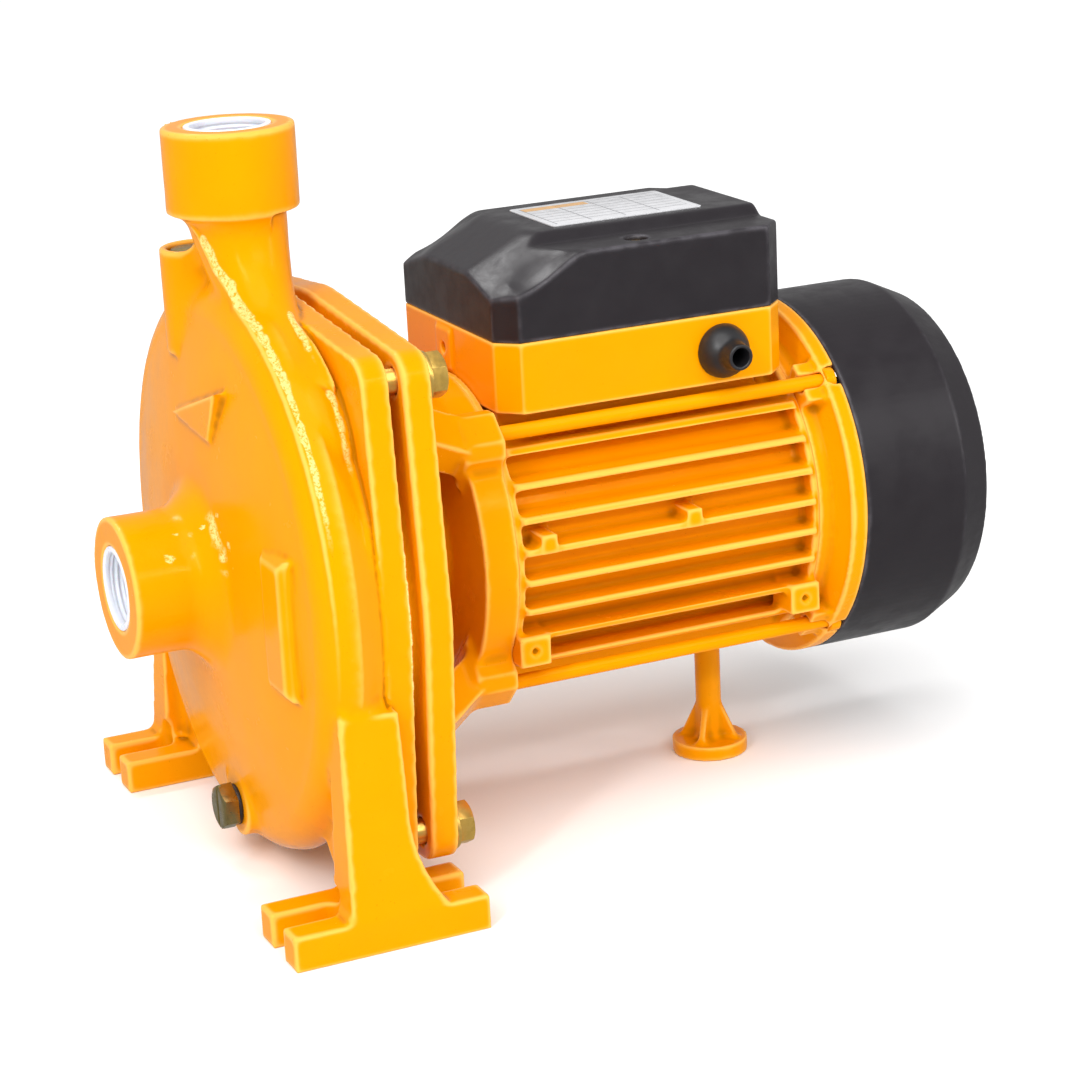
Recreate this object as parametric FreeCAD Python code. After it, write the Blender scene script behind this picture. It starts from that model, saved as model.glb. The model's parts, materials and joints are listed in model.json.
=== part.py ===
"""Close-coupled centrifugal water pump with a finned electric motor.

Millimetres. The shaft lies along X: the suction port faces -X, the fan is at +X.
The origin is on the floor, midway between the four foot slots and straight below
the discharge port. +Z is up.
"""
import FreeCAD, Part
import math
import os

V = FreeCAD.Vector
os.makedirs("parts", exist_ok=True)

# ---------------------------------------------------------------- driving sizes
shaft_height = 100.0          # floor to shaft axis

# fits and clearances
slip = 0.05                   # radial play of a seated or running fit
free_gap = 0.5                # room between a turning piece and a still one
face_gap = 0.05               # film between the two seal faces

# pipe ports: G3/4 thread in a white plastic lining
port_minor_radius = 12.06
port_lining = 2.0
port_thread_length = 18.0
neck_joint_gap = 1.7          # joint of the neck above the drum's crest
throat_step = 1.2             # passage under the discharge lining, inside the thread's minor radius
suction_reach = 50.7
suction_boss_radius = 23.6
discharge_rise = 146.8        # port's face above the shaft
discharge_boss_radius = 21.5
discharge_boss_height = 27.2

# volute casing
casing_wall = 5.0
rim_centre_radius = 84.3      # centre circle of the rounded volute rim
rim_centre_x = -2.5
rim_round = 12.0
dish_front_x = -22.0          # front of the dish beside the suction boss
dish_crown = 1.2              # how far the dish stands out of a straight cone
chamber_radius = 74.0         # register bore at the back of the casing
register_depth = 4.0

# flanges and their bolts
casing_flange_front = 8.0
casing_flange_thickness = 9.0
flange_gap = 4.5
bracket_flange_thickness = 9.5
flange_radius = 90.0
ear_offset = 74.4             # ear centre from the shaft, along Y and along Z
ear_radius = 9.5
raised_face_radius = 83.0
bolt_radius = 4.0             # M8
bolt_head_flats = 13.0
bolt_head_height = 5.3
washer_thickness = 1.6
washer_radius = 8.0
bolt_end_cover = 1.0          # casing left in front of the bolt's tip

# feet of the casing
foot_length = 66.2
foot_inner_y = 70.5
foot_outer_y = 102.0
foot_thickness = 11.3
slot_radius = 5.0
slot_depth = 17.0             # from the foot's end to the slot's centre of round
slot_head_room = 8.0          # leg cut clear above a slot, for the bolt's head
leg_front_x = -12.0
leg_rear_x = 9.3
leg_depth = 17.0
leg_top_drop = 25.0           # below the shaft
leg_top_y = 94.0              # the leg's outer face leans in to this at its top
leg_flare = 12.0
web_thickness = 8.0

# priming and drain plugs
priming_x = -6.0
priming_y = 23.0
priming_rise = 104.6          # boss's face above the shaft
priming_boss_radius = 12.5
priming_thread_radius = 6.6   # G1/4
priming_recess_radius = 10.2
priming_recess_depth = 9.0
drain_y = -6.0
drain_drop = 80.5             # below the shaft
drain_boss_radius = 11.0
drain_face_x = -17.5
drain_thread_radius = 5.0
drain_flats = 14.0
drain_head_height = 5.2
plug_thread_length = 9.0
plug_seal_thickness = 1.5
plug_slot_width = 1.6
plug_slot_depth = 1.4

# raised marks on the dish
arrow_height = 1.8
bar_height = 3.6

# mechanical seal
gland_radius = 17.0
gland_depth = 13.0            # from the register's front face to the seat
seat_radius = 10.5
seat_cup_radius = 13.0
seat_length = 6.0
shaft_hole_gap = 1.0          # play of the bracket's hole around the shaft
rear_hole_gap = 0.5           # play of the end shield's hole around the bearing journal
spring_wire = 0.9
spring_turns = 3.5

# impeller
impeller_radius = 65.0
eye_radius = 14.5
neck_ring_radius = 18.0
neck_ring_length = 9.5
shroud_thickness = 2.5
passage_width = 6.5
blade_count = 6
blade_thickness = 2.5
impeller_front_x = -5.0
hub_radius = 12.5
nut_flats = 17.0
nut_height = 8.0
nut_thread_radius = 5.0

# shaft
seal_shaft_radius = 6.0
gland_shaft_radius = 7.0
core_shaft_radius = 10.0
fan_shaft_radius = 6.5
key_width = 4.0
key_height = 4.0
key_length = 10.0

# bearings: bore radius, outside radius, width
front_bearing = (8.5, 20.0, 12.0)
rear_bearing = (7.5, 17.5, 11.0)
ball_count = 8
race_depth = 0.6
bearing_hub_wall = 6.0
seat_shoulder = 3.5           # bearing seat floor carries only the outer ring

# bracket between pump and motor
lantern_length = 26.0
bracket_ring_length = 12.0
ring_radius = 56.0
bracket_wall = 5.0
arm_width = 15.0
arm_root_radius = 82.0
gland_hub_radius = 24.0
gland_hub_length = 9.0
hood_half_angle = 52.0
bracket_pocket = (66.0, 30.0)  # outer and inner radius of the pocket behind the flange
back_plate = 8.0              # wall between the pump chamber and that pocket
lug_radius = 8.5
bracket_lug_half = 9.5
bracket_lug_chamfer = 4.0
bracket_lug_reach = 65.5       # from the shaft to the block's outer face

# motor
frame_length = 113.0
frame_bore = 43.5
frame_wall = 4.5
fin_tip_radius = 57.5
fin_pitch = 10.43
fin_thickness = 2.2
fins_each_way = 4
fin_boss_x = (79.6, 133.0)     # two small bosses on a fin of each side
fin_boss_low = 4.6
fin_setback = 2.5
spigot_length = 3.0
rod_offset = 43.0             # tie rod from the shaft, along Y and along Z
rod_radius = 2.5
rod_head_radius = 4.2
rod_head_height = 3.5
frame_lug_size = 11.0
frame_lug_drop = 29.7         # lower lugs below the shaft axis
stack_length = 80.0
rotor_radius = 27.0
air_gap = 0.4
winding_overhang = 12.0
end_ring_length = 7.0
support_boss_radius = 9.0
support_x = 165.2
support_drop = 57.5           # boss's face below the shaft

# rear end shield, fan and fan cover
shield_length = 13.4
cover_radius = 64.3
cover_straight = 39.2
cover_taper = 12.4
cover_rear_radius = 58.5
cover_wall = 2.0
grille_rings = 5
grille_spokes = 8
fan_radius = 52.0
fan_length = 18.0
fan_blades = 9
circlip_thickness = 1.2

# terminal box
box_x0 = 71.7
box_length = 106.0
box_half_width = 44.2
box_rise = 48.2               # heights of the box are above the shaft
box_joint_rise = 72.0
box_corner = 7.0
box_wall = 2.8
ledge_rise = 99.6
plateau_rise = 103.0
plateau_half_width = 21.7
plateau_front = 22.0          # plateau starts this far behind the box's front
front_edge_rise = 89.0
pedestal_half_width = 26.0
wire_hole_radius = 4.0
gasket_thickness = 1.2
cover_screw_y = 35.0
cover_screw_x = 126.0
grommet_x = 152.0
grommet_rise = 59.5
grommet_radius = 9.3
grommet_reach = 13.5
cable_radius = 3.2
earth_pad_y = 3.0
earth_pad_rise = 63.0
plate_length = 56.0
plate_width = 36.0
plate_x = 132.0
plate_thickness = 0.4
capacitor_radius = 13.5
capacitor_length = 55.0
capacitor_y = 13.0
capacitor_lift = 4.0          # clear of the screw heads in the tray
terminal_block_height = 14.0

# rear support foot
pad_radius = 13.6
pad_thickness = 5.0
column_radius = 4.6

# ------------------------------------------------------------- derived places
x_casing_rear = casing_flange_front + casing_flange_thickness
x_register = x_casing_rear - register_depth
x_bracket_front = x_casing_rear + flange_gap
x_bracket_rear = x_bracket_front + bracket_flange_thickness
x_ring_front = x_bracket_rear + lantern_length
x_frame_front = x_ring_front + bracket_ring_length
x_frame_rear = x_frame_front + frame_length
x_cover_front = x_frame_rear + shield_length
x_cover_edge = x_cover_front + cover_straight
x_cover_rear = x_cover_edge + cover_taper
x_seal_face = x_register + gland_depth
shaft_hole_radius = gland_shaft_radius + shaft_hole_gap
rear_hole_radius = rear_bearing[0] + rear_hole_gap
x_gland_end = x_seal_face + seat_length + 1.0
x_front_bearing = x_ring_front - 5.0
x_rear_bearing = x_frame_rear + 1.0
x_stack = 0.5 * (x_frame_front + x_frame_rear - stack_length) - 1.0
x_hub_rear = x_register - free_gap
x_fan = x_cover_front + 5.0
x_shaft_end = x_fan + fan_length + 4.0
port_radius = port_minor_radius + port_lining
discharge_top = shaft_height + discharge_rise
discharge_bottom = discharge_top - discharge_boss_height
neck_joint_z = shaft_height + rim_centre_radius + rim_round + neck_joint_gap
priming_top = shaft_height + priming_rise
drain_z = shaft_height - drain_drop
leg_top_z = shaft_height - leg_top_drop
support_top_z = shaft_height - support_drop
box_bottom = shaft_height + box_rise
box_joint = shaft_height + box_joint_rise
ledge_z = shaft_height + ledge_rise
plateau_z = shaft_height + plateau_rise
front_edge_z = shaft_height + front_edge_rise
grommet_z = shaft_height + grommet_rise
earth_pad_z = shaft_height + earth_pad_rise
box_x1 = box_x0 + box_length
box_mid_x = box_x0 + box_length / 2
stator_bore = rotor_radius + air_gap
CORNERS = [(sy, sz) for sy in (-1, 1) for sz in (-1, 1)]


# -------------------------------------------------------------------- helpers
def cyl_x(radius, x0, x1, y=0.0, z=shaft_height):
    """Cylinder along X."""
    return Part.makeCylinder(radius, x1 - x0, V(x0, y, z), V(1, 0, 0))


def tube_x(outer, inner, x0, x1, y=0.0, z=shaft_height):
    """Hollow cylinder along X."""
    over = 1.0
    return cyl_x(outer, x0, x1, y, z).cut(cyl_x(inner, x0 - over, x1 + over, y, z))


def cyl_z(radius, z0, z1, x, y):
    """Cylinder along Z."""
    return Part.makeCylinder(radius, z1 - z0, V(x, y, z0), V(0, 0, 1))


def cyl_y(radius, y0, y1, x, z):
    """Cylinder along Y."""
    return Part.makeCylinder(radius, y1 - y0, V(x, y0, z), V(0, 1, 0))


def box(x0, x1, y0, y1, z0, z1):
    """Axis-aligned block."""
    return Part.makeBox(x1 - x0, y1 - y0, z1 - z0, V(x0, y0, z0))


def fuse(shapes):
    """One solid from several that overlap."""
    first, rest = shapes[0], shapes[1:]
    return first.fuse(rest).removeSplitter() if rest else first


def prism(points, direction):
    """Solid from a closed outline of 3-D points pushed along a vector."""
    return Part.Face(Part.makePolygon(points + [points[0]])).extrude(direction)


def turned(profile):
    """Solid of revolution about the shaft from (x, radius) points."""
    points = [V(x, 0, shaft_height + radius) for x, radius in profile]
    face = Part.Face(Part.makePolygon(points + [points[0]]))
    return face.revolve(V(0, 0, shaft_height), V(1, 0, 0), 360)


def hexagon_x(flats, x0, x1, y=0.0, z=shaft_height):
    """Hexagonal prism along X."""
    corner = flats / math.sqrt(3)
    angles = [math.radians(60 * i + 30) for i in range(6)]
    points = [V(x0, y + corner * math.cos(a), z + corner * math.sin(a)) for a in angles]
    return prism(points, V(x1 - x0, 0, 0))


def on_circle(radius, degrees, x):
    """Point at a radius from the shaft; 0 degrees is +Y, 90 is up."""
    angle = math.radians(degrees)
    return V(x, radius * math.cos(angle), shaft_height + radius * math.sin(angle))


def around_shaft(shape, degrees):
    """Copy turned about the shaft."""
    copy = shape.copy()
    copy.rotate(V(0, 0, shaft_height), V(1, 0, 0), degrees)
    return copy


def flange_outline(radius, x0, x1):
    """Round flange drawn out to four corner ears."""
    distance = ear_offset * math.sqrt(2)
    spread = math.degrees(math.acos((radius - ear_radius) / distance))
    shapes = [cyl_x(radius, x0, x1)]
    for sy, sz in CORNERS:
        middle = math.degrees(math.atan2(sz, sy))
        ear_y, ear_z = sy * ear_offset, shaft_height + sz * ear_offset
        corners = []
        for side in (-1, 1):
            angle = math.radians(middle + side * spread)
            direction = V(0, math.cos(angle), math.sin(angle))
            on_ear = V(x0, ear_y, ear_z) + direction * ear_radius
            on_disc = V(x0, 0, shaft_height) + direction * radius
            corners += [on_disc, on_ear] if side < 0 else [on_ear, on_disc]
        shapes += [prism(corners, V(x1 - x0, 0, 0)), cyl_x(ear_radius, x0, x1, ear_y, ear_z)]
    return fuse(shapes)


def save(name, shape):
    """Write one node as STEP."""
    shapes = shape if isinstance(shape, list) else [shape]
    solids = [solid for item in shapes for solid in item.Solids]
    for solid in solids:
        if not solid.isValid() or solid.Volume <= 0:
            raise ValueError("bad solid in " + name)
    Part.makeCompound(solids).exportStep("parts/" + name + ".step")
    print(name, len(solids), "solid(s),", round(sum(s.Volume for s in solids)), "mm3")


# --------------------------------------------------------------------- casing
def dish_profile(inset):
    """Closed half section of the casing's drum, drawn in by the inset."""
    hub_radius_at_dish = suction_boss_radius
    rim = rim_round - inset
    hub_point = V(dish_front_x + inset, 0, shaft_height + hub_radius_at_dish)
    edge_point = V(rim_centre_x - rim, 0, shaft_height + rim_centre_radius)
    middle = (hub_point + edge_point) * 0.5 - V(dish_crown, 0, 0)
    diagonal = rim * math.sqrt(0.5)
    round_middle = V(rim_centre_x - diagonal, 0, shaft_height + rim_centre_radius + diagonal)
    crest = V(rim_centre_x, 0, shaft_height + rim_centre_radius + rim)
    back_radius = (flange_radius if inset == 0 else chamber_radius) - 1.5
    back = V(casing_flange_front + 0.5, 0, shaft_height + back_radius)
    axis_back = V(casing_flange_front + 0.5, 0, shaft_height)
    axis_front = V(dish_front_x + inset, 0, shaft_height)
    edges = [
        Part.LineSegment(axis_front, hub_point).toShape(),
        Part.Arc(hub_point, middle, edge_point).toShape(),
        Part.Arc(edge_point, round_middle, crest).toShape(),
        Part.LineSegment(crest, back).toShape(),
        Part.LineSegment(back, axis_back).toShape(),
        Part.LineSegment(axis_back, axis_front).toShape(),
    ]
    face = Part.Face(Part.Wire(edges))
    return face.revolve(V(0, 0, shaft_height), V(1, 0, 0), 360)


def neck(wall_in):
    """Swept neck that leaves the rim on the -Y side and rises to the discharge boss."""
    def rim_point(degrees, x, sunk):
        angle = math.radians(degrees)
        radius = rim_centre_radius - sunk
        return V(x, -radius * math.sin(angle), shaft_height + radius * math.cos(angle))

    rise = discharge_bottom - (shaft_height + rim_centre_radius + rim_round)
    sections = [
        (V(0.3, 0, discharge_bottom + 4), V(0, 0, 1), rim_round + 4.2),
        (V(1.0, -6.5, discharge_bottom - 0.7 * rise), V(0, 0.35, 0.94), rim_round + 2.0),
        (V(1.2, -19.5, discharge_bottom - 1.35 * rise), V(0, 0.72, 0.69), rim_round - 1.2),
        (rim_point(30, 0.5, -1.7), V(0, 0.85, 0.53), rim_round - 2.4),
        (rim_point(58, -0.5, 1.8), V(0, 0.58, 0.81), rim_round - 4.0),
    ]
    wires = []
    for centre, direction, radius in sections:
        circle = Part.Circle(centre, direction, radius - wall_in)
        wires.append(Part.Wire(circle.toShape()))
    return Part.makeLoft(wires, True, False)


def foot_slot(end):
    """Tools that cut one open-ended slot, with head room for the bolt, in the foot on the +Y side."""
    half = foot_length / 2
    slot_y = 0.5 * (foot_inner_y + foot_outer_y)
    round_x = end * (half - slot_depth)
    low, high = sorted((round_x, end * (half + 1)))
    top = foot_thickness + slot_head_room
    return [cyl_z(slot_radius, -1, top, round_x, slot_y),
            box(low, high, slot_y - slot_radius, slot_y + slot_radius, -1, top)]


def casing_leg(side):
    """One leg with its slotted foot; side is -1 or +1 along Y."""
    half = foot_length / 2
    top = foot_thickness
    foot = box(-half, half, foot_inner_y, foot_outer_y, 0, foot_thickness)
    inner_y = foot_outer_y - leg_depth
    flare_z = top + 2.8 * leg_flare
    start = V(leg_front_x - 1.5, inner_y, top - 2)
    outline = [
        Part.LineSegment(start, V(leg_front_x + 1.5, inner_y, leg_top_z)).toShape(),
        Part.LineSegment(V(leg_front_x + 1.5, inner_y, leg_top_z),
                         V(leg_rear_x, inner_y, leg_top_z)).toShape(),
        Part.LineSegment(V(leg_rear_x, inner_y, leg_top_z),
                         V(leg_rear_x, inner_y, flare_z)).toShape(),
        Part.Arc(V(leg_rear_x, inner_y, flare_z),
                 V(leg_rear_x + 0.25 * leg_flare, inner_y, top + 1.1 * leg_flare),
                 V(leg_rear_x + leg_flare, inner_y, top - 2)).toShape(),
        Part.LineSegment(V(leg_rear_x + leg_flare, inner_y, top - 2), start).toShape(),
    ]
    plate = Part.Face(Part.Wire(outline)).extrude(V(0, leg_depth, 0))
    lean = prism([V(leg_front_x - 20, foot_outer_y, top), V(leg_front_x - 20, foot_outer_y + 9, top),
                  V(leg_front_x - 20, foot_outer_y + 9, leg_top_z + 1),
                  V(leg_front_x - 20, leg_top_y, leg_top_z + 1)], V(80, 0, 0))
    web_x = 0.5 * (leg_front_x + leg_rear_x)
    web = prism([V(web_x - web_thickness / 2, foot_inner_y + 2, top - 2),
                 V(web_x - web_thickness / 2, inner_y + 2, top - 2),
                 V(web_x - web_thickness / 2, inner_y + 2, 62.0),
                 V(web_x - web_thickness / 2, 52.0, 30.0)], V(web_thickness, 0, 0))
    leg = fuse([foot, plate.cut(lean), web]).cut(foot_slot(-1) + foot_slot(1))
    return leg if side > 0 else leg.mirror(V(0, 0, 0), V(0, 1, 0))


def dish_x(radius):
    """Front face of the dish at a radius, as the straight cone it is drawn on."""
    share = (radius - suction_boss_radius) / (rim_centre_radius - suction_boss_radius)
    return dish_front_x + share * (rim_centre_x - rim_round - dish_front_x)


def raised_marks():
    """Turning arrow and grip bar cast on the dish."""
    arrow_x = dish_x(55.0) - dish_crown - arrow_height
    arrow = prism([V(arrow_x, 17.5, shaft_height + 51.5), V(arrow_x, -28.0, shaft_height + 66.8),
                   V(arrow_x, -18.0, shaft_height + 49.0)], V(arrow_height + 3.0, 0, 0))
    bar_x = dish_x(66.0) - bar_height
    bar = box(bar_x, bar_x + bar_height + 3.0, -76.0, -56.0, shaft_height - 23.0, shaft_height + 23.0)
    chamfered = [edge for edge in bar.Edges
                 if all(abs(vertex.X - bar_x) < 0.01 for vertex in edge.Vertexes)]
    return [arrow, bar.makeChamfer(2.5, chamfered)]


def casing_outside():
    """Solid outer form of the casing without its legs."""
    return fuse([
        dish_profile(0.0),
        flange_outline(flange_radius, casing_flange_front, x_casing_rear),
        cyl_x(suction_boss_radius, -suction_reach, dish_front_x + 3.0),
        Part.makeCone(suction_boss_radius, suction_boss_radius + 7.0, 8.0,
                      V(dish_front_x - 7.5, 0, shaft_height), V(1, 0, 0)),
        cyl_z(discharge_boss_radius, discharge_bottom, discharge_top, 0, 0),
        neck(0.0),
        cyl_z(priming_boss_radius, shaft_height + 70.0, priming_top, priming_x, priming_y),
        cyl_x(drain_boss_radius, drain_face_x, 0.0, drain_y, drain_z),
    ] + raised_marks())


def leg_outside_drum(side):
    """The leg up to where it meets the drum; it is cast in one with the casing."""
    pieces = casing_leg(side).cut(casing_outside()).Solids
    return max(pieces, key=lambda piece: piece.Volume)


def near_leg():
    return leg_outside_drum(-1)


def far_leg():
    return leg_outside_drum(1)


def neck_region():
    """Space above the drum that holds the discharge neck and boss, but not the priming boss."""
    room = cyl_z(2 * discharge_boss_radius, neck_joint_z, discharge_top + 1.0, 0, 0)
    return room.cut(cyl_z(priming_boss_radius, neck_joint_z - 1.0, priming_top + 1.0, priming_x, priming_y))


def discharge_neck():
    """Top of the neck and the discharge boss; it is cast in one with the casing."""
    return whole_casing().common(neck_region())


def volute_casing():
    return whole_casing().cut(neck_region())


def whole_casing():
    land = tube_x(neck_ring_radius + 5.0, neck_ring_radius + free_gap,
                  dish_front_x + casing_wall - 1.0, impeller_front_x - neck_ring_length + 3.5)
    hollow = fuse([
        dish_profile(casing_wall).cut(land),
        cyl_x(chamber_radius + slip, casing_flange_front, x_casing_rear + 1.0),
        cyl_x(eye_radius - 1.0, -suction_reach - 1.0, 0.0),
        cyl_x(port_radius + slip, -suction_reach - 1.0, port_thread_length - suction_reach),
        neck(casing_wall - 0.8),
        cyl_z(port_radius + slip, discharge_top - port_thread_length, discharge_top + 1.0, 0, 0),
        cyl_z(port_minor_radius - throat_step, discharge_bottom + 2.0, discharge_top, 0, 0),
        cyl_z(priming_thread_radius + slip, shaft_height + 60.0, priming_top, priming_x, priming_y),
        cyl_z(priming_recess_radius, priming_top - priming_recess_depth, priming_top + 1.0,
              priming_x, priming_y),
        cyl_x(drain_thread_radius + slip, drain_face_x - 1.0, rim_centre_x, drain_y, drain_z),
    ])
    bolt_holes = [cyl_x(bolt_radius + slip, casing_flange_front + bolt_end_cover, x_casing_rear + 1.0,
                        sy * ear_offset, shaft_height + sz * ear_offset) for sy, sz in CORNERS]
    return casing_outside().cut([hollow] + bolt_holes)


def port_lining_x():
    return tube_x(port_radius, port_minor_radius, -suction_reach, port_thread_length - suction_reach)


def port_lining_z():
    low = discharge_top - port_thread_length
    sleeve = cyl_z(port_radius, low, discharge_top, 0, 0)
    return sleeve.cut(cyl_z(port_minor_radius, low - 1, discharge_top + 1, 0, 0))


def screwdriver_slot_x(x0, y, z, reach):
    return box(x0 - 1.0, x0 + plug_slot_depth, y - plug_slot_width / 2, y + plug_slot_width / 2,
               z - reach, z + reach)


def drain_plug():
    head_front = drain_face_x - plug_seal_thickness - drain_head_height
    head = hexagon_x(drain_flats, head_front, head_front + drain_head_height, drain_y, drain_z)
    dome = Part.makeCone(drain_flats * 0.46, drain_flats * 0.46 + 2.2 * drain_head_height,
                         drain_head_height, V(head_front, drain_y, drain_z), V(1, 0, 0))
    thread = cyl_x(drain_thread_radius, head_front + 1.0, drain_face_x + plug_thread_length,
                   drain_y, drain_z)
    return fuse([head.common(dome), thread]).cut(
        screwdriver_slot_x(head_front, drain_y, drain_z, drain_flats))


def drain_plug_seal():
    return tube_x(drain_flats * 0.5, drain_thread_radius + slip,
                  drain_face_x - plug_seal_thickness, drain_face_x, drain_y, drain_z)


def priming_seat_z():
    return priming_top - priming_recess_depth


def priming_plug():
    seat = priming_seat_z() + plug_seal_thickness
    head_height = priming_recess_depth - plug_seal_thickness - 1.0
    head = cyl_z(priming_recess_radius - 1.5, seat, seat + head_height, priming_x, priming_y)
    thread = cyl_z(priming_thread_radius, seat - plug_thread_length, seat + 1.0, priming_x, priming_y)
    slot = box(priming_x - 12.0, priming_x + 12.0, priming_y - plug_slot_width / 2,
               priming_y + plug_slot_width / 2, seat + head_height - 2.0, seat + head_height + 1.0)
    return fuse([head, thread]).cut(slot)


def priming_plug_seal():
    seat = priming_seat_z()
    ring = cyl_z(priming_recess_radius - 1.8, seat, seat + plug_seal_thickness, priming_x, priming_y)
    return ring.cut(cyl_z(priming_thread_radius + slip, seat - 1, seat + 3, priming_x, priming_y))


def casing_o_ring():
    section = 1.6
    circle = Part.Circle(V(x_casing_rear + section, 0,
                           shaft_height + 0.5 * (chamber_radius + raised_face_radius)),
                         V(0, 1, 0), section)
    face = Part.Face(Part.Wire(circle.toShape()))
    return face.revolve(V(0, 0, shaft_height), V(1, 0, 0), 360)


# -------------------------------------------------------------------- bracket
def lantern_arm(sy, sz):
    """Corner arm from the flange down to the motor ring."""
    middle = math.degrees(math.atan2(sz, sy))
    inner_front, inner_rear = arm_root_radius - 14.0, ring_radius - 8.0
    outer_rear = rod_offset * math.sqrt(2) + 2.0
    half = arm_width / 2
    points = [V(x_bracket_rear - 2, -half, shaft_height + inner_front),
              V(x_bracket_rear - 2, -half, shaft_height + arm_root_radius),
              V(x_bracket_rear, -half, shaft_height + arm_root_radius),
              V(x_ring_front + 2, -half, shaft_height + outer_rear),
              V(x_ring_front + 2, -half, shaft_height + inner_rear),
              V(x_bracket_rear + 6, -half, shaft_height + inner_front - 6.0)]
    return around_shaft(prism(points, V(0, arm_width, 0)), middle - 90)


def bracket_lug(sy, sz):
    """Block with cut corners on the motor ring, which takes a tie rod's thread."""
    half, cut = bracket_lug_half, bracket_lug_chamfer
    inner, outer = ring_radius - 9.0, bracket_lug_reach
    x0 = x_ring_front - 2.0
    points = [V(x0, -half, shaft_height + inner), V(x0, -half, shaft_height + outer - cut),
              V(x0, -half + cut, shaft_height + outer), V(x0, half - cut, shaft_height + outer),
              V(x0, half, shaft_height + outer - cut), V(x0, half, shaft_height + inner)]
    block = prism(points, V(x_frame_front - x0, 0, 0))
    return around_shaft(block, math.degrees(math.atan2(sz, sy)) - 90)


def hood():
    """Closed conical roof between the two upper arms."""
    outer = turned([(x_bracket_rear - 1, 0), (x_bracket_rear - 1, 70.0), (x_ring_front + 1, ring_radius),
                    (x_ring_front + 1, 0)])
    inner = turned([(x_bracket_rear - 2, 0), (x_bracket_rear - 2, 70.0 - bracket_wall),
                    (x_ring_front + 2, ring_radius - bracket_wall), (x_ring_front + 2, 0)])
    reach = 2 * ring_radius
    spread = reach * math.tan(math.radians(hood_half_angle))
    sector = prism([V(x_bracket_rear - 3, 0, shaft_height), V(x_bracket_rear - 3, -spread, shaft_height + reach),
                    V(x_bracket_rear - 3, spread, shaft_height + reach)], V(lantern_length + 8, 0, 0))
    return outer.cut(inner).common(sector)


def motor_bracket():
    bore, outside, width = front_bearing
    hub_outer = outside + bearing_hub_wall
    solids = [
        flange_outline(flange_radius, x_bracket_front, x_bracket_rear),
        cyl_x(raised_face_radius, x_casing_rear, x_bracket_front + 1.0),
        cyl_x(chamber_radius, x_register, x_casing_rear + 1.0),
        cyl_x(gland_hub_radius, x_bracket_rear - 1.0, x_bracket_rear + gland_hub_length),
        tube_x(ring_radius, frame_bore - 4.0, x_ring_front, x_frame_front),
        cyl_x(ring_radius - 4.0, x_ring_front, x_ring_front + bracket_wall),
        cyl_x(hub_outer, x_front_bearing - bracket_wall, x_front_bearing + width + 2.0),
        tube_x(frame_bore - slip, frame_bore - 4.0, x_frame_front - 1.0, x_frame_front + spigot_length),
        hood(),
    ]
    solids += [lantern_arm(sy, sz) for sy, sz in CORNERS]
    for sy, sz in CORNERS:
        solids.append(bracket_lug(sy, sz))
    body = fuse(solids)
    groove_radius = 0.5 * (chamber_radius + raised_face_radius)
    cuts = [
        cyl_x(gland_radius, x_register - 1.0, x_seal_face),
        cyl_x(seat_cup_radius + slip, x_register - 1.0, x_gland_end),
        cyl_x(shaft_hole_radius, x_register, x_front_bearing + 1.0),
        tube_x(*bracket_pocket, x_register + back_plate + 1.0, x_bracket_rear),
        cyl_x(outside + slip, x_front_bearing, x_front_bearing + width + 8.0),
        cyl_x(outside - seat_shoulder, x_front_bearing - free_gap, x_front_bearing + 1.0),
        tube_x(groove_radius + 1.7, groove_radius - 1.7, x_casing_rear - 1.0, x_casing_rear + 4.0),
    ]
    for sy, sz in CORNERS:
        y, z = sy * ear_offset, shaft_height + sz * ear_offset
        cuts.append(cyl_x(bolt_radius + 0.5, x_bracket_front - 1.0, x_bracket_rear + 1.0, y, z))
        y, z = sy * rod_offset, shaft_height + sz * rod_offset
        cuts.append(cyl_x(rod_radius + slip, x_ring_front + 3.0, x_frame_front + 1.0, y, z))
    return body.cut(cuts)


def flange_bolts():
    bolts = []
    for sy, sz in CORNERS:
        y, z = sy * ear_offset, shaft_height + sz * ear_offset
        head_x = x_bracket_rear + washer_thickness
        head = hexagon_x(bolt_head_flats, head_x, head_x + bolt_head_height, y, z)
        chamfer = Part.makeCone(bolt_head_flats * 0.5 + 1.6 * bolt_head_height, bolt_head_flats * 0.5,
                                bolt_head_height, V(head_x, y, z), V(1, 0, 0))
        tip_x = casing_flange_front + bolt_end_cover
        bolts.append(fuse([head.common(chamfer), cyl_x(bolt_radius, tip_x, head_x + 1.0, y, z)]))
    return bolts


def flange_washers():
    return [tube_x(washer_radius, bolt_radius + 0.3, x_bracket_rear, x_bracket_rear + washer_thickness,
                   sy * ear_offset, shaft_height + sz * ear_offset) for sy, sz in CORNERS]


# ------------------------------------------------------------- seal, impeller
def seal_seat():
    return tube_x(seat_radius, gland_shaft_radius + 0.6, x_seal_face, x_seal_face + seat_length)


def seal_seat_cup():
    return tube_x(seat_cup_radius, seat_radius, x_seal_face, x_gland_end).cut(
        cyl_x(seat_radius, x_seal_face - 1, x_seal_face + seat_length))


def seal_head():
    """Carbon face ring in its steel shell, gripping the shaft."""
    ring = tube_x(seat_radius - 0.5, seal_shaft_radius + slip, x_seal_face - 6.0, x_seal_face - face_gap)
    shell = tube_x(seat_radius + 1.5, seal_shaft_radius + slip, x_seal_face - 7.0, x_seal_face - 3.0)
    bellows = tube_x(seat_radius - 2.0, seal_shaft_radius + slip, x_hub_rear + 1.0, x_seal_face - 6.0)
    return fuse([ring, shell, bellows])


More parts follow.
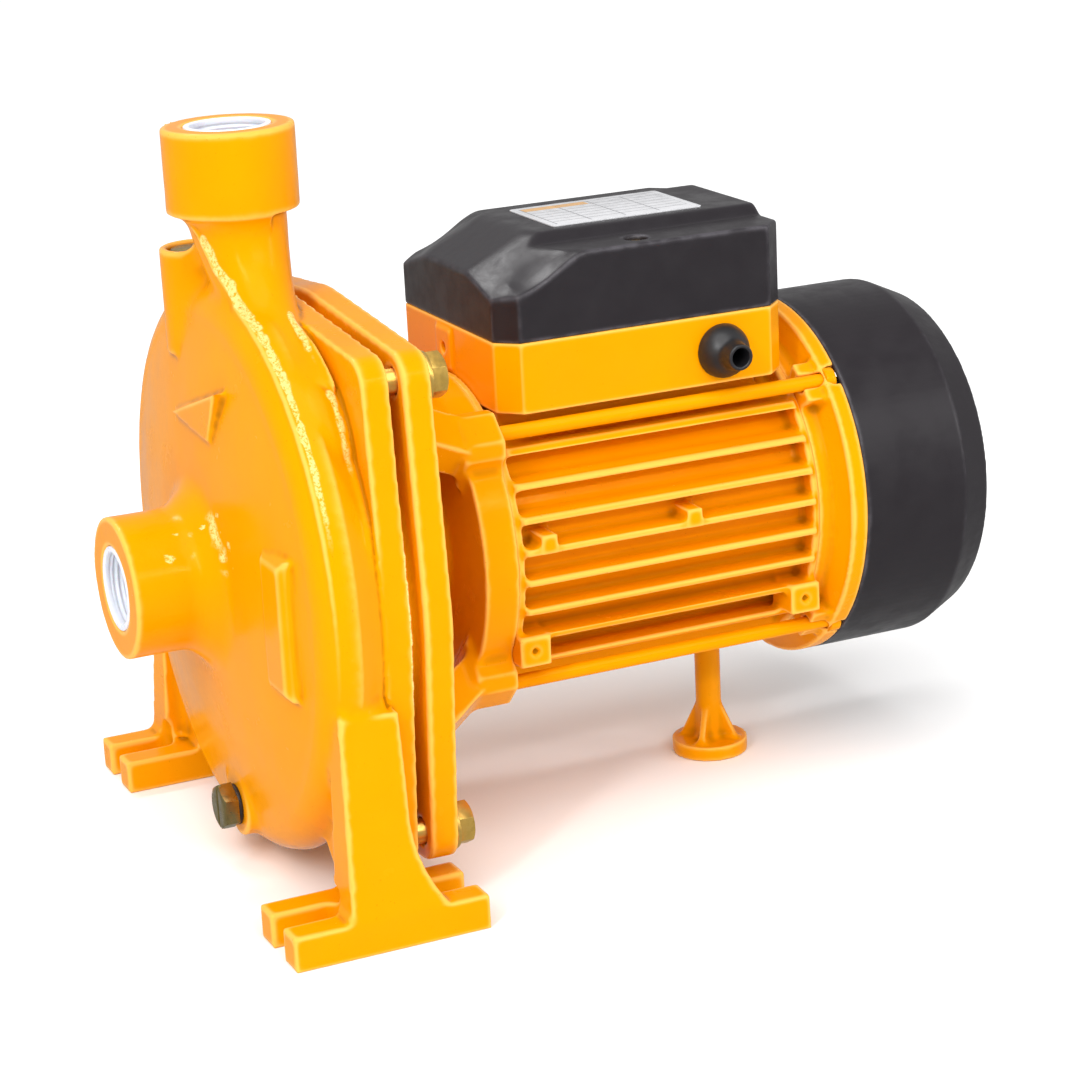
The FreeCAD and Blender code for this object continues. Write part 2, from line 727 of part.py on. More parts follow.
def seal_spring():
    start = x_hub_rear + spring_wire
    height = x_seal_face - 7.0 - spring_wire - start
    radius = seat_radius
    helix = Part.makeHelix(height / spring_turns, height, radius)
    wire = Part.Wire(Part.Circle(V(radius, 0, 0), V(0, 1, 0), spring_wire).toShape())
    coil = Part.Wire(helix.Edges).makePipeShell([wire], True, True)
    coil.rotate(V(0, 0, 0), V(0, 1, 0), 90)
    coil.translate(V(start, 0, shaft_height))
    return coil


def impeller():
    front_inner = impeller_front_x + shroud_thickness
    back_inner = front_inner + passage_width
    back_outer = back_inner + shroud_thickness
    solids = [
        tube_x(impeller_radius, eye_radius, impeller_front_x, front_inner),
        tube_x(neck_ring_radius, eye_radius, impeller_front_x - neck_ring_length, front_inner),
        cyl_x(impeller_radius, back_inner, back_outer),
        cyl_x(hub_radius, front_inner - 1.0, x_hub_rear),
    ]
    steps = 6
    turn = 75.0
    inner = neck_ring_radius - 1.0
    for number in range(blade_count):
        outline = []
        for side in (-1, 1):
            points = []
            for step in range(steps + 1):
                share = step / steps
                radius = inner + share * (impeller_radius - 0.5 - inner)
                angle = 360.0 * number / blade_count - turn * share
                offset = math.degrees(side * blade_thickness / 2 / radius) * 1.4
                points.append(on_circle(radius, angle + offset, front_inner - 0.5))
            outline += points if side < 0 else points[::-1]
        solids.append(prism(outline, V(passage_width + 1.0, 0, 0)))
    return fuse(solids).cut([
        cyl_x(seal_shaft_radius + slip, -40.0, x_hub_rear + 1.0),
        box(-40.0, x_hub_rear + 1.0, -key_width / 2 - slip, key_width / 2 + slip, shaft_height,
            shaft_height + seal_shaft_radius + key_height / 2 + slip)])


def key_start_x():
    return x_hub_rear - 2.0 - key_length


def impeller_key():
    return box(key_start_x(), key_start_x() + key_length, -key_width / 2, key_width / 2,
               shaft_height + seal_shaft_radius - key_height / 2,
               shaft_height + seal_shaft_radius + key_height / 2)


def impeller_nut():
    rear = impeller_front_x + shroud_thickness - 1.0
    nut = hexagon_x(nut_flats, rear - nut_height, rear)
    return nut.cut(cyl_x(nut_thread_radius + slip, rear - nut_height - 1, rear + 1))


def shaft():
    nut_rear = impeller_front_x + shroud_thickness - 1.0
    x_front_shoulder = x_front_bearing + front_bearing[2]
    profile = [
        (nut_rear - nut_height - 1.5, nut_thread_radius),
        (nut_rear, nut_thread_radius),
        (nut_rear, seal_shaft_radius),
        (x_seal_face + 0.5, seal_shaft_radius),
        (x_seal_face + 0.5, gland_shaft_radius),
        (x_front_bearing, gland_shaft_radius),
        (x_front_bearing, front_bearing[0]),
        (x_front_shoulder, front_bearing[0]),
        (x_front_shoulder, core_shaft_radius),
        (x_rear_bearing, core_shaft_radius),
        (x_rear_bearing, rear_bearing[0]),
        (x_fan - 1.0, rear_bearing[0]),
        (x_fan - 1.0, fan_shaft_radius),
        (x_shaft_end, fan_shaft_radius),
    ]
    closed = [(profile[0][0], 0.0)] + profile + [(profile[-1][0], 0.0)]
    body = turned(closed)
    keyway = box(key_start_x(), key_start_x() + key_length, -key_width / 2, key_width / 2,
                 shaft_height + seal_shaft_radius - key_height / 2, shaft_height + 20)
    groove_x = x_fan + fan_length
    groove = tube_x(fan_shaft_radius + 1, fan_shaft_radius - 0.8, groove_x, groove_x + circlip_thickness)
    return body.cut([keyway, groove])


def water_slinger():
    x = 0.5 * (x_bracket_rear + gland_hub_length + x_front_bearing - bracket_wall) - 1.5
    return fuse([tube_x(13.0, gland_shaft_radius, x, x + 1.5), tube_x(9.5, gland_shaft_radius, x, x + 3.0)])


# ------------------------------------------------------------------- bearings
def bearing_sizes(bearing):
    bore, outside, width = bearing
    pitch = 0.5 * (bore + outside)
    ball = 0.29 * (outside - bore)
    return bore, outside, width, pitch, ball


def race_groove(bearing, x0):
    bore, outside, width, pitch, ball = bearing_sizes(bearing)
    return Part.makeTorus(pitch, ball + slip, V(x0 + width / 2, 0, shaft_height), V(1, 0, 0))


def outer_ring(bearing, x0):
    bore, outside, width, pitch, ball = bearing_sizes(bearing)
    ring = tube_x(outside, pitch + ball - race_depth * 1.6, x0, x0 + width)
    return ring.cut(race_groove(bearing, x0))


def inner_ring(bearing, x0):
    bore, outside, width, pitch, ball = bearing_sizes(bearing)
    ring = tube_x(pitch - ball + race_depth * 1.6, bore, x0, x0 + width)
    return ring.cut(race_groove(bearing, x0))


def balls(bearing, x0):
    bore, outside, width, pitch, ball = bearing_sizes(bearing)
    middle = x0 + width / 2
    return [Part.makeSphere(ball, on_circle(pitch, 360.0 * i / ball_count, middle))
            for i in range(ball_count)]


def cage(bearing, x0):
    bore, outside, width, pitch, ball = bearing_sizes(bearing)
    middle = x0 + width / 2
    half = ball * 0.5
    band = tube_x(pitch + 0.8, pitch - 0.8, middle - half, middle + half)
    pockets = [Part.makeSphere(ball + slip, on_circle(pitch, 360.0 * i / ball_count, middle))
               for i in range(ball_count)]
    rims = [tube_x(pitch + 0.8, pitch - 0.8, middle - ball - 1.0, middle - ball + 0.6)]
    ties = []
    for i in range(ball_count):
        tie = box(middle - ball - 0.5, middle, -0.8, 0.8, shaft_height + pitch - 0.8,
                  shaft_height + pitch + 0.8)
        ties.append(around_shaft(tie, 360.0 * (i + 0.5) / ball_count - 90.0))
    return fuse(rims + ties + [band.cut(pockets)]).cut(pockets)


def wave_spring():
    bore, outside, width = rear_bearing
    return tube_x(outside - 0.5, outside - 3.5, x_rear_bearing + width, x_rear_bearing + width + 1.0)


# ---------------------------------------------------------------------- motor
def motor_frame():
    outer = frame_bore + frame_wall
    x0, x1 = x_frame_front, x_frame_rear
    fins = []
    envelope = cyl_x(fin_tip_radius, x0 + fin_setback, x1 - fin_setback)
    for number in range(-fins_each_way, fins_each_way):
        offset = (number + 0.5) * fin_pitch
        low, high = shaft_height + offset - fin_thickness / 2, shaft_height + offset + fin_thickness / 2
        fins.append(box(x0 + fin_setback, x1 - fin_setback, -fin_tip_radius, fin_tip_radius, low, high))
        if abs(offset) < 0.62 * fin_tip_radius:
            fins.append(box(x0 + fin_setback, x1 - fin_setback, offset - fin_thickness / 2,
                            offset + fin_thickness / 2, shaft_height - fin_tip_radius, shaft_height))
    solids = [
        cyl_x(outer, x0, x1),
        cyl_x(ring_radius - 0.8, x0, x0 + fin_setback),
        cyl_x(ring_radius - 0.8, x1 - fin_setback, x1),
        box(box_x0 + 4.0, box_x1 - 4.0, -pedestal_half_width, pedestal_half_width,
            shaft_height + frame_bore - 4.0, box_bottom),
        cyl_z(support_boss_radius, support_top_z, shaft_height - frame_bore, support_x, 0),
    ] + [fin.common(envelope) for fin in fins]
    lug_y, lug_z = 0.96 * ring_radius, shaft_height - frame_lug_drop
    for side in (-1, 1):
        for end_x in (x0, x1 - frame_lug_size):
            y0, y1 = sorted((side * (lug_y - 14.0), side * lug_y))
            solids.append(box(end_x, end_x + frame_lug_size, y0, y1, lug_z - 5.2, lug_z + 5.2))
        for boss_x in fin_boss_x:
            y0, y1 = sorted((side * (outer - 2.0), side * (fin_tip_radius + 0.4)))
            solids.append(box(boss_x - 2.8, boss_x + 2.8, y0, y1, shaft_height + fin_boss_low,
                              shaft_height + fin_boss_low + 6.0))
    body = fuse(solids)
    cuts = [cyl_x(frame_bore + slip, x0 - 1.0, x1 + 1.0),
            cyl_z(wire_hole_radius, shaft_height, box_bottom + 1.0, x_stack - 6.0, 0.0),
            cyl_z(3.0, support_top_z - 1.0, support_top_z + 8.0, support_x, 0.0)]
    for side in (-1, 1):
        for end_x in (x0, x1 - frame_lug_size):
            y0, y1 = sorted((side * (lug_y - 6.0), side * (lug_y + 1.0)))
            cuts.append(cyl_y(1.6, y0, y1, end_x + frame_lug_size / 2, lug_z))
    cuts += [cyl_z(1.65, box_bottom - 6.0, box_bottom + 1.0, x, y) for x, y in box_screw_places()]
    return body.cut(cuts)


def box_screw_places():
    return [(box_mid_x + sx * 0.36 * box_length, sy * 0.7 * pedestal_half_width)
            for sx in (-1, 1) for sy in (-1, 1)]


def rear_end_shield():
    bore, outside, width = rear_bearing
    web = turned([(x_frame_rear, 0), (x_frame_rear, ring_radius - 1.0),
                  (x_frame_rear + 5.0, ring_radius - 1.0), (x_cover_front - 6.0, cover_radius - 1.5),
                  (x_cover_front - 6.0, cover_radius), (x_cover_front, cover_radius),
                  (x_cover_front, cover_radius - cover_wall - 0.2),
                  (x_cover_front + 3.0, cover_radius - cover_wall - 0.2),
                  (x_cover_front + 3.0, cover_radius - 6.0), (x_cover_front - 5.0, cover_radius - 9.0),
                  (x_frame_rear + 4.0, ring_radius - 7.0), (x_frame_rear + 4.0, 0)])
    solids = [
        web,
        cyl_x(outside + bearing_hub_wall, x_rear_bearing - 3.0, x_rear_bearing + width + 3.0),
        tube_x(frame_bore - slip, frame_bore - 4.0, x_frame_rear - spigot_length, x_frame_rear + 1.0),
    ]
    inside_rim = cyl_x(cover_radius - 2.0, x_frame_rear, x_cover_front)
    for sy, sz in CORNERS:
        lug = cyl_x(lug_radius - 1.0, x_frame_rear, x_cover_front - 5.0, sy * rod_offset,
                    shaft_height + sz * rod_offset)
        solids.append(lug.common(inside_rim))
    vents = [cyl_x(5.0, x_frame_rear - 10.0, x_cover_front + 5.0, *vent_place(i)) for i in range(6)]
    cuts = [cyl_x(outside + slip, x_rear_bearing, x_rear_bearing + width + 1.1),
            cyl_x(outside - seat_shoulder, x_rear_bearing, x_rear_bearing + width + 1.1 + free_gap),
            cyl_x(rear_hole_radius, x_rear_bearing, x_cover_front + 9.0),
            cyl_x(core_shaft_radius + free_gap, x_rear_bearing - 5.0, x_rear_bearing + 1.0)]
    for sy, sz in CORNERS:
        y, z = sy * rod_offset, shaft_height + sz * rod_offset
        cuts.append(cyl_x(rod_radius + 0.4, x_frame_rear - 1.0, x_cover_front + 1.0, y, z))
        cuts.append(cyl_x(rod_head_radius + 0.4, x_cover_front - 5.0, x_cover_front + 9.0, y, z))
    return fuse(solids).cut(cuts + vents)


def vent_place(number):
    angle = math.radians(60 * number)
    radius = 0.5 * (rear_bearing[1] + bearing_hub_wall + frame_bore - 4.0)
    return radius * math.cos(angle), shaft_height + radius * math.sin(angle)


def tie_rods():
    rods = []
    for sy, sz in CORNERS:
        y, z = sy * rod_offset, shaft_height + sz * rod_offset
        head_x = x_cover_front - 5.0
        rods.append(fuse([cyl_x(rod_radius, x_ring_front + 3.0, head_x + 0.5, y, z),
                          cyl_x(rod_head_radius, head_x, head_x + rod_head_height, y, z)]))
    return rods


def stator_core():
    teeth = 24
    slot_radius_outer = frame_bore - 7.0
    core = tube_x(frame_bore, stator_bore, x_stack, x_stack + stack_length)
    slots = []
    for number in range(teeth):
        slot = box(x_stack - 1, x_stack + stack_length + 1, -1.6, 1.6, shaft_height + stator_bore + 1.5,
                   shaft_height + slot_radius_outer)
        slots.append(around_shaft(slot, 360.0 * number / teeth))
    return core.cut(slots)


def stator_windings():
    outer, inner = frame_bore - 6.0, stator_bore + 2.0
    front = tube_x(outer, inner, x_stack - winding_overhang, x_stack)
    rear = tube_x(outer, inner, x_stack + stack_length, x_stack + stack_length + winding_overhang)
    rings = []
    for ring, end in ((front, x_stack - winding_overhang), (rear, x_stack + stack_length + winding_overhang)):
        rim = [edge for edge in ring.Edges if all(abs(v.X - end) < 0.01 for v in edge.Vertexes)]
        rings.append(ring.makeFillet(3.0, rim))
    return rings


def rotor_core():
    return tube_x(rotor_radius, core_shaft_radius, x_stack, x_stack + stack_length)


def rotor_end_rings():
    rings = []
    for x0, x1 in ((x_stack - end_ring_length, x_stack),
                   (x_stack + stack_length, x_stack + stack_length + end_ring_length)):
        rings.append(tube_x(rotor_radius - 1.5, core_shaft_radius + 8.0, x0, x1))
    return rings


def cooling_fan():
    hub = tube_x(fan_shaft_radius + 5.0, fan_shaft_radius, x_fan, x_fan + fan_length)
    disc = tube_x(fan_radius - 12.0, fan_shaft_radius + 4.0, x_fan + 5.0, x_fan + 7.0)
    blade = box(x_fan, x_fan + fan_length, -1.1, 1.1, shaft_height + fan_shaft_radius + 4.0,
                shaft_height + fan_radius)
    blades = [around_shaft(blade, 360.0 * i / fan_blades) for i in range(fan_blades)]
    return fuse([hub, disc] + blades)


def fan_circlip():
    x0 = x_fan + fan_length
    ring = tube_x(fan_shaft_radius + 1.8, fan_shaft_radius - 0.8, x0, x0 + circlip_thickness)
    return ring.cut(box(x0 - 1, x0 + 3, -1.5, 1.5, shaft_height, shaft_height + 20))


def fan_cover():
    def cup(inset, rear_inset):
        return turned([(x_cover_front, 0), (x_cover_front, cover_radius - inset),
                       (x_cover_edge, cover_radius - inset),
                       (x_cover_rear - rear_inset, cover_rear_radius - inset),
                       (x_cover_rear - rear_inset, 0)])
    shell = cup(0.0, 0.0).cut(cup(cover_wall, cover_wall))
    slots = []
    ring_step = (cover_rear_radius - 14.0) / grille_rings
    for ring in range(grille_rings):
        inner = 9.0 + ring * ring_step
        slots.append(tube_x(inner + ring_step * 0.55, inner, x_cover_rear - 4.0, x_cover_rear + 1.0))
    spoke = box(x_cover_rear - 5.0, x_cover_rear + 2.0, -1.5, 1.5, shaft_height + 5.0,
                shaft_height + cover_radius)
    spokes = [around_shaft(spoke, 360.0 * i / grille_spokes) for i in range(grille_spokes)]
    return shell.cut([slot.cut(spokes) for slot in slots])


# --------------------------------------------------------------- terminal box
def box_outline(inset, z0, z1, front_inset=0.0):
    """Rectangle with cut corners, pushed up from z0 to z1."""
    x0, x1 = box_x0 + inset + front_inset, box_x1 - inset
    half, cut = box_half_width - inset, box_corner - 0.4 * inset
    points = [V(x0 + cut, -half, z0), V(x1 - cut, -half, z0), V(x1, -half + cut, z0),
              V(x1, half - cut, z0), V(x1 - cut, half, z0), V(x0 + cut, half, z0),
              V(x0, half - cut, z0), V(x0, -half + cut, z0)]
    return prism(points, V(0, 0, z1 - z0))


def terminal_box_base():
    tray = box_outline(0.0, box_bottom, box_joint).cut(box_outline(box_wall, box_bottom + box_wall, box_joint + 1))
    pad = box(box_x0 - 1.0, box_x0 + 3.0, earth_pad_y - 6.0, earth_pad_y + 6.0, earth_pad_z - 6.5,
              earth_pad_z + 6.5)
    posts = [cyl_z(5.0, box_bottom + 1.0, box_joint, cover_screw_x, sy * cover_screw_y) for sy in (-1, 1)]
    groove = box_outline(box_wall * 0.3, box_joint - gasket_thickness, box_joint + 1).cut(
        box_outline(box_wall * 0.75, box_joint - 3, box_joint + 2))
    cuts = [groove,
            cyl_y(grommet_radius - 3.0, -box_half_width - 1, -box_half_width + box_wall + 1, grommet_x, grommet_z),
            cyl_z(wire_hole_radius, box_bottom - 1, box_bottom + box_wall + 1, x_stack - 6.0, 0.0),
            cyl_x(2.0, box_x0 - 2.0, box_x0 + 4.0, earth_pad_y, earth_pad_z)]
    cuts += [cyl_z(1.65, box_joint - 14.0, box_joint + 1, cover_screw_x, sy * cover_screw_y) for sy in (-1, 1)]
    cuts += [cyl_z(2.3, box_bottom - 1, box_bottom + box_wall + 1, x, y) for x, y in box_screw_places()]
    return fuse([tray, pad] + posts).cut(cuts)


def box_gasket():
    return box_outline(box_wall * 0.3, box_joint - gasket_thickness, box_joint).cut(
        box_outline(box_wall * 0.75, box_joint - 3, box_joint + 2))


def cover_block(inset):
    """Outer or inner form of the cover: ledges, raised middle and sloping front."""
    low = box_joint if inset == 0 else box_joint - 1
    block = box_outline(inset, low, ledge_z - inset)
    middle = box(box_x0 + 5.0, box_x1 - inset - 0.4, -plateau_half_width + inset, plateau_half_width - inset,
                 low, plateau_z - inset)
    slope = prism([V(box_x0 - 5, -60, front_edge_z - inset - 5 * (plateau_z - front_edge_z) / plateau_front),
                   V(box_x0 - 5, -60, plateau_z + 5),
                   V(box_x0 + plateau_front + 8, -60, plateau_z + 5),
                   V(box_x0 + plateau_front, -60, plateau_z - inset)], V(0, 120, 0))
    return fuse([block, middle]).cut(slope)


def terminal_box_cover():
    shell = cover_block(0.0).cut(cover_block(box_wall))
    tubes = [cyl_z(5.0, box_joint, ledge_z - 1.0, cover_screw_x, sy * cover_screw_y) for sy in (-1, 1)]
    body = fuse([shell] + tubes)
    cuts = []
    for sy in (-1, 1):
        cuts.append(cyl_z(3.9, ledge_z - 4.0, ledge_z + 5.0, cover_screw_x, sy * cover_screw_y))
        cuts.append(cyl_z(2.1, box_joint - 1.0, ledge_z, cover_screw_x, sy * cover_screw_y))
    return body.cut(cuts)


def cross_recess(shape, x, y, top):
    for width, length in ((1.0, 4.4), (4.4, 1.0)):
        shape = shape.cut(box(x - width / 2, x + width / 2, y - length / 2, y + length / 2, top - 1.2, top + 1))
    return shape


def cover_screws():
    screws = []
    for sy in (-1, 1):
        y = sy * cover_screw_y
        seat = ledge_z - 4.0
        body = fuse([cyl_z(3.5, seat, seat + 2.4, cover_screw_x, y),
                     cyl_z(1.6, box_joint - 12.0, seat + 1.0, cover_screw_x, y)])
        screws.append(cross_recess(body, cover_screw_x, y, seat + 2.4))
    return screws


def box_screws():
    screws = []
    for x, y in box_screw_places():
        seat = box_bottom + box_wall
        body = fuse([cyl_z(3.5, seat, seat + 2.4, x, y), cyl_z(1.6, box_bottom - 5.5, seat + 1.0, x, y)])
        screws.append(cross_recess(body, x, y, seat + 2.4))
    return screws


def terminal_places():
    """X of the three poles, Y of the two screw rows, and the tray floor."""
    poles = [box_x0 + 27.0 + 9.3 * number for number in range(3)]
    return poles, (-21.0, -15.0), box_bottom + box_wall


def terminal_block():
    poles, rows, floor = terminal_places()
    block = box(poles[0] - 5.0, poles[-1] + 5.0, rows[0] - 5.0, rows[1] + 5.0, floor,
                floor + terminal_block_height)
    pockets = [cyl_z(2.6, floor + 8.0, floor + terminal_block_height + 1.0, x, y)
               for x in poles for y in rows]
    return block.cut(pockets)


def terminal_screws():
    poles, rows, floor = terminal_places()
    return [cyl_z(2.5, floor + 8.0, floor + 11.0, x, y) for x in poles for y in rows]


def capacitor_place():
    """Front end and height of the capacitor's axis."""
    return box_x1 - 9.0 - capacitor_length, box_bottom + box_wall + capacitor_lift + capacitor_radius


def run_capacitor():
    x0, z = capacitor_place()
    can = cyl_x(capacitor_radius, x0, x0 + capacitor_length, capacitor_y, z)
    rims = [edge for edge in can.Edges if len(edge.Vertexes) == 1]
    can = can.makeFillet(1.5, rims)
    tabs = [box(x0 - 7.0, x0 + 1.0, capacitor_y + s * 5.0 - 0.4, capacitor_y + s * 5.0 + 0.4,
                z - 3.0, z + 3.0) for s in (-1, 1)]
    return fuse([can] + tabs)


def capacitor_clamp():
    can_x, z = capacitor_place()
    x0 = can_x + capacitor_length / 2 - 5.0
    band = tube_x(capacitor_radius + 1.2, capacitor_radius, x0, x0 + 10.0, capacitor_y, z)
    foot = box(x0, x0 + 10.0, capacitor_y - 5.0, capacitor_y + 5.0, box_bottom + box_wall,
               z - capacitor_radius - 0.2)
    return fuse([band, foot.cut(cyl_x(capacitor_radius, x0 - 1, x0 + 11, capacitor_y, z))])


def cable_grommet():
    """Rubber dome with a nozzle for the supply cord."""
    wall = -box_half_width
    dome = Part.makeSphere(grommet_radius, V(grommet_x, wall, grommet_z))
    keep = box(grommet_x - 20, grommet_x + 20, wall - 20, wall, grommet_z - 20, grommet_z + 20)
    nozzle = Part.makeCone(cable_radius + 2.4, cable_radius + 1.2, grommet_reach - 3.0,
                           V(grommet_x, wall - 3.0, grommet_z), V(0, -1, 0))
    shank = cyl_y(grommet_radius - 3.0, wall, wall + box_wall, grommet_x, grommet_z)
    collar = cyl_y(grommet_radius - 1.0, wall + box_wall, wall + box_wall + 2.0, grommet_x, grommet_z)
    body = fuse([dome.common(keep), nozzle, shank, collar])
    return body.cut(cyl_y(cable_radius, wall - 30.0, wall + 10.0, grommet_x, grommet_z))


def earth_screw():
    return fuse([cyl_x(1.9, box_x0 + 0.5, box_x0 + 9.0, earth_pad_y, earth_pad_z),
                 cyl_x(3.6, box_x0 + 4.0, box_x0 + 6.4, earth_pad_y, earth_pad_z)])


def nameplate():
    plate = box(plate_x - plate_length / 2, plate_x + plate_length / 2, -plate_width / 2, plate_width / 2,
                plateau_z, plateau_z + plate_thickness)
    corners = [edge for edge in plate.Edges
               if abs(edge.Vertexes[0].Z - edge.Vertexes[1].Z) > 0.1]
    return plate.makeFillet(1.5, corners)


# -------------------------------------------------------------- support foot
def rear_support_foot():
    column = cyl_z(column_radius, pad_thickness - 1.0, support_top_z, support_x, 0)
    pad = cyl_z(pad_radius, 0, pad_thickness, support_x, 0)
    ribs = []
    for number in range(4):
        rib = prism([V(support_x, -1.1, pad_thickness - 0.5), V(support_x + pad_radius - 2.5, -1.1, pad_thickness - 0.5),
                     V(support_x + column_radius, -1.1, pad_thickness + 13.0), V(support_x, -1.1, pad_thickness + 13.0)],
                    V(0, 2.2, 0))
        rib.rotate(V(support_x, 0, 0), V(0, 0, 1), 45 + 90 * number)
        ribs.append(rib)
    stud_hole = cyl_z(3.0, support_top_z - 12.0, support_top_z + 1.0, support_x, 0)
    return fuse([column, pad] + ribs).cut(stud_hole)


def support_foot_stud():
    return cyl_z(2.95, support_top_z - 11.5, support_top_z + 7.5, support_x, 0)


NODES = [
    ("volute_casing", volute_casing),
    ("near_leg", near_leg),
    ("far_leg", far_leg), ("discharge_neck", discharge_neck),
    ("suction_port_lining", port_lining_x),
    ("discharge_port_lining", port_lining_z), ("priming_plug", priming_plug),
    ("priming_plug_seal", priming_plug_seal), ("drain_plug", drain_plug),
    ("drain_plug_seal", drain_plug_seal), ("casing_o_ring", casing_o_ring),
    ("motor_bracket", motor_bracket), ("flange_bolts", flange_bolts),
    ("flange_washers", flange_washers), ("impeller", impeller), ("impeller_key", impeller_key),
    ("impeller_nut", impeller_nut), ("seal_seat", seal_seat), ("seal_seat_cup", seal_seat_cup),
    ("seal_head", seal_head), ("seal_spring", seal_spring), ("shaft", shaft),
    ("water_slinger", water_slinger), ("wave_spring", wave_spring), ("motor_frame", motor_frame),
    ("rear_end_shield", rear_end_shield), ("tie_rods", tie_rods), ("stator_core", stator_core),
    ("stator_windings", stator_windings), ("rotor_core", rotor_core),
    ("rotor_end_rings", rotor_end_rings), ("cooling_fan", cooling_fan), ("fan_circlip", fan_circlip),
    ("fan_cover", fan_cover), ("terminal_box_base", terminal_box_base), ("box_gasket", box_gasket),
    ("terminal_box_cover", terminal_box_cover), ("cover_screws", cover_screws),
    ("box_screws", box_screws), ("terminal_block", terminal_block),
    ("terminal_screws", terminal_screws), ("run_capacitor", run_capacitor),
    ("capacitor_clamp", capacitor_clamp), ("cable_grommet", cable_grommet),
    ("earth_screw", earth_screw), ("nameplate", nameplate),
    ("rear_support_foot", rear_support_foot), ("support_foot_stud", support_foot_stud),
]
for node, build in NODES:
    save(node, build())
for end, bearing, start in (("front", front_bearing, x_front_bearing), ("rear", rear_bearing, x_rear_bearing)):
    save(end + "_bearing_outer_ring", outer_ring(bearing, start))
    save(end + "_bearing_inner_ring", inner_ring(bearing, start))
    save(end + "_bearing_balls", balls(bearing, start))
    save(end + "_bearing_cage", cage(bearing, start))
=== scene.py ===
"""Looks of the centrifugal water pump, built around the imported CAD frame. Lengths are in metres."""

import json
import math

import bpy
import numpy as np
import openvdb
from mathutils import Matrix, Vector


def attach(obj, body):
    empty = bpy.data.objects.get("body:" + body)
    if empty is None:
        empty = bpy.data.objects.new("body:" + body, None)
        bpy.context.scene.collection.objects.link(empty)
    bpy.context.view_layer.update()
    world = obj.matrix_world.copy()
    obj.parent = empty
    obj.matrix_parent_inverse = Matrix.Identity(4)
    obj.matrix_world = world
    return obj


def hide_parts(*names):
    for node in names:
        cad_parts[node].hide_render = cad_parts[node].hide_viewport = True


MM = 0.001
# Sizes of the CAD model in mm, for the visual pieces that follow it.
AXIS_Z = 100.0               # shaft height
SUCTION_FACE_X = -50.7
DISCHARGE_FACE_Z = 246.8
PORT_RADIUS = 12.06          # inside of the port threads
DRAIN_Y, DRAIN_Z = -6.0, 19.5
BOX_FRONT, BOX_REAR = 71.7, 177.7
BOX_HALF_WIDTH = 44.2
BOX_CORNER = 7.0
BOX_JOINT_Z = 172.0
LEDGE_Z, PLATEAU_Z = 199.6, 203.0
COVER_WALL = 2.8
COVER_SCREW_X, COVER_SCREW_Y = 126.0, 35.0
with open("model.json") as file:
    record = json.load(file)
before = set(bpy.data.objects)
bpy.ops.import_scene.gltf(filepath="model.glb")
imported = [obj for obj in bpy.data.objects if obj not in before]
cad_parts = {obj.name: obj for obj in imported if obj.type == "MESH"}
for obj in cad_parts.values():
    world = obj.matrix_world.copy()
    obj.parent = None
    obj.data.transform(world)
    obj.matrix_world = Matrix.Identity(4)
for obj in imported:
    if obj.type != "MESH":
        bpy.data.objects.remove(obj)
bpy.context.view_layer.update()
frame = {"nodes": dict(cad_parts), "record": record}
nodes = frame["nodes"]
scene = bpy.context.scene


# ------------------------------------------------------------------ small maths
def smooth_step(value, low, high):
    share = np.clip((value - low) / (high - low), 0.0, 1.0)
    return share * share * (3.0 - 2.0 * share)


def wave_noise(points, length, seed, waves=18):
    """Smooth noise between about -1 and 1; length is its wavelength, in the points' unit."""
    source = np.random.default_rng(seed)
    directions = source.normal(size=(waves, 3))
    directions /= np.linalg.norm(directions, axis=1)[:, None]
    turns = 2.0 * math.pi / (length * source.uniform(0.7, 1.5, waves))
    phases = source.uniform(0.0, 2.0 * math.pi, waves)
    total = np.zeros(len(points))
    for direction, turn, phase in zip(directions, turns, phases):
        total += np.sin(points @ direction * turn + phase)
    return total / math.sqrt(waves)


# ------------------------------------------------------------------ mesh tools
def node_mesh(name):
    """Points and triangles of a CAD node, as arrays."""
    mesh = nodes[name].data
    mesh.calc_loop_triangles()
    points = np.empty(len(mesh.vertices) * 3, np.float32)
    mesh.vertices.foreach_get("co", points)
    triangles = np.empty(len(mesh.loop_triangles) * 3, np.int32)
    mesh.loop_triangles.foreach_get("vertices", triangles)
    return points.reshape(-1, 3), triangles.reshape(-1, 3)


def level_set(points, voxel, half_width, triangles=None, quads=None):
    """Signed distance grid of a closed mesh."""
    transform = openvdb.createLinearTransform(voxelSize=voxel)
    faces = {"triangles": triangles} if triangles is not None else {"quads": quads}
    return openvdb.FloatGrid.createLevelSetFromPolygons(
        points, transform=transform, halfWidth=half_width, **faces)


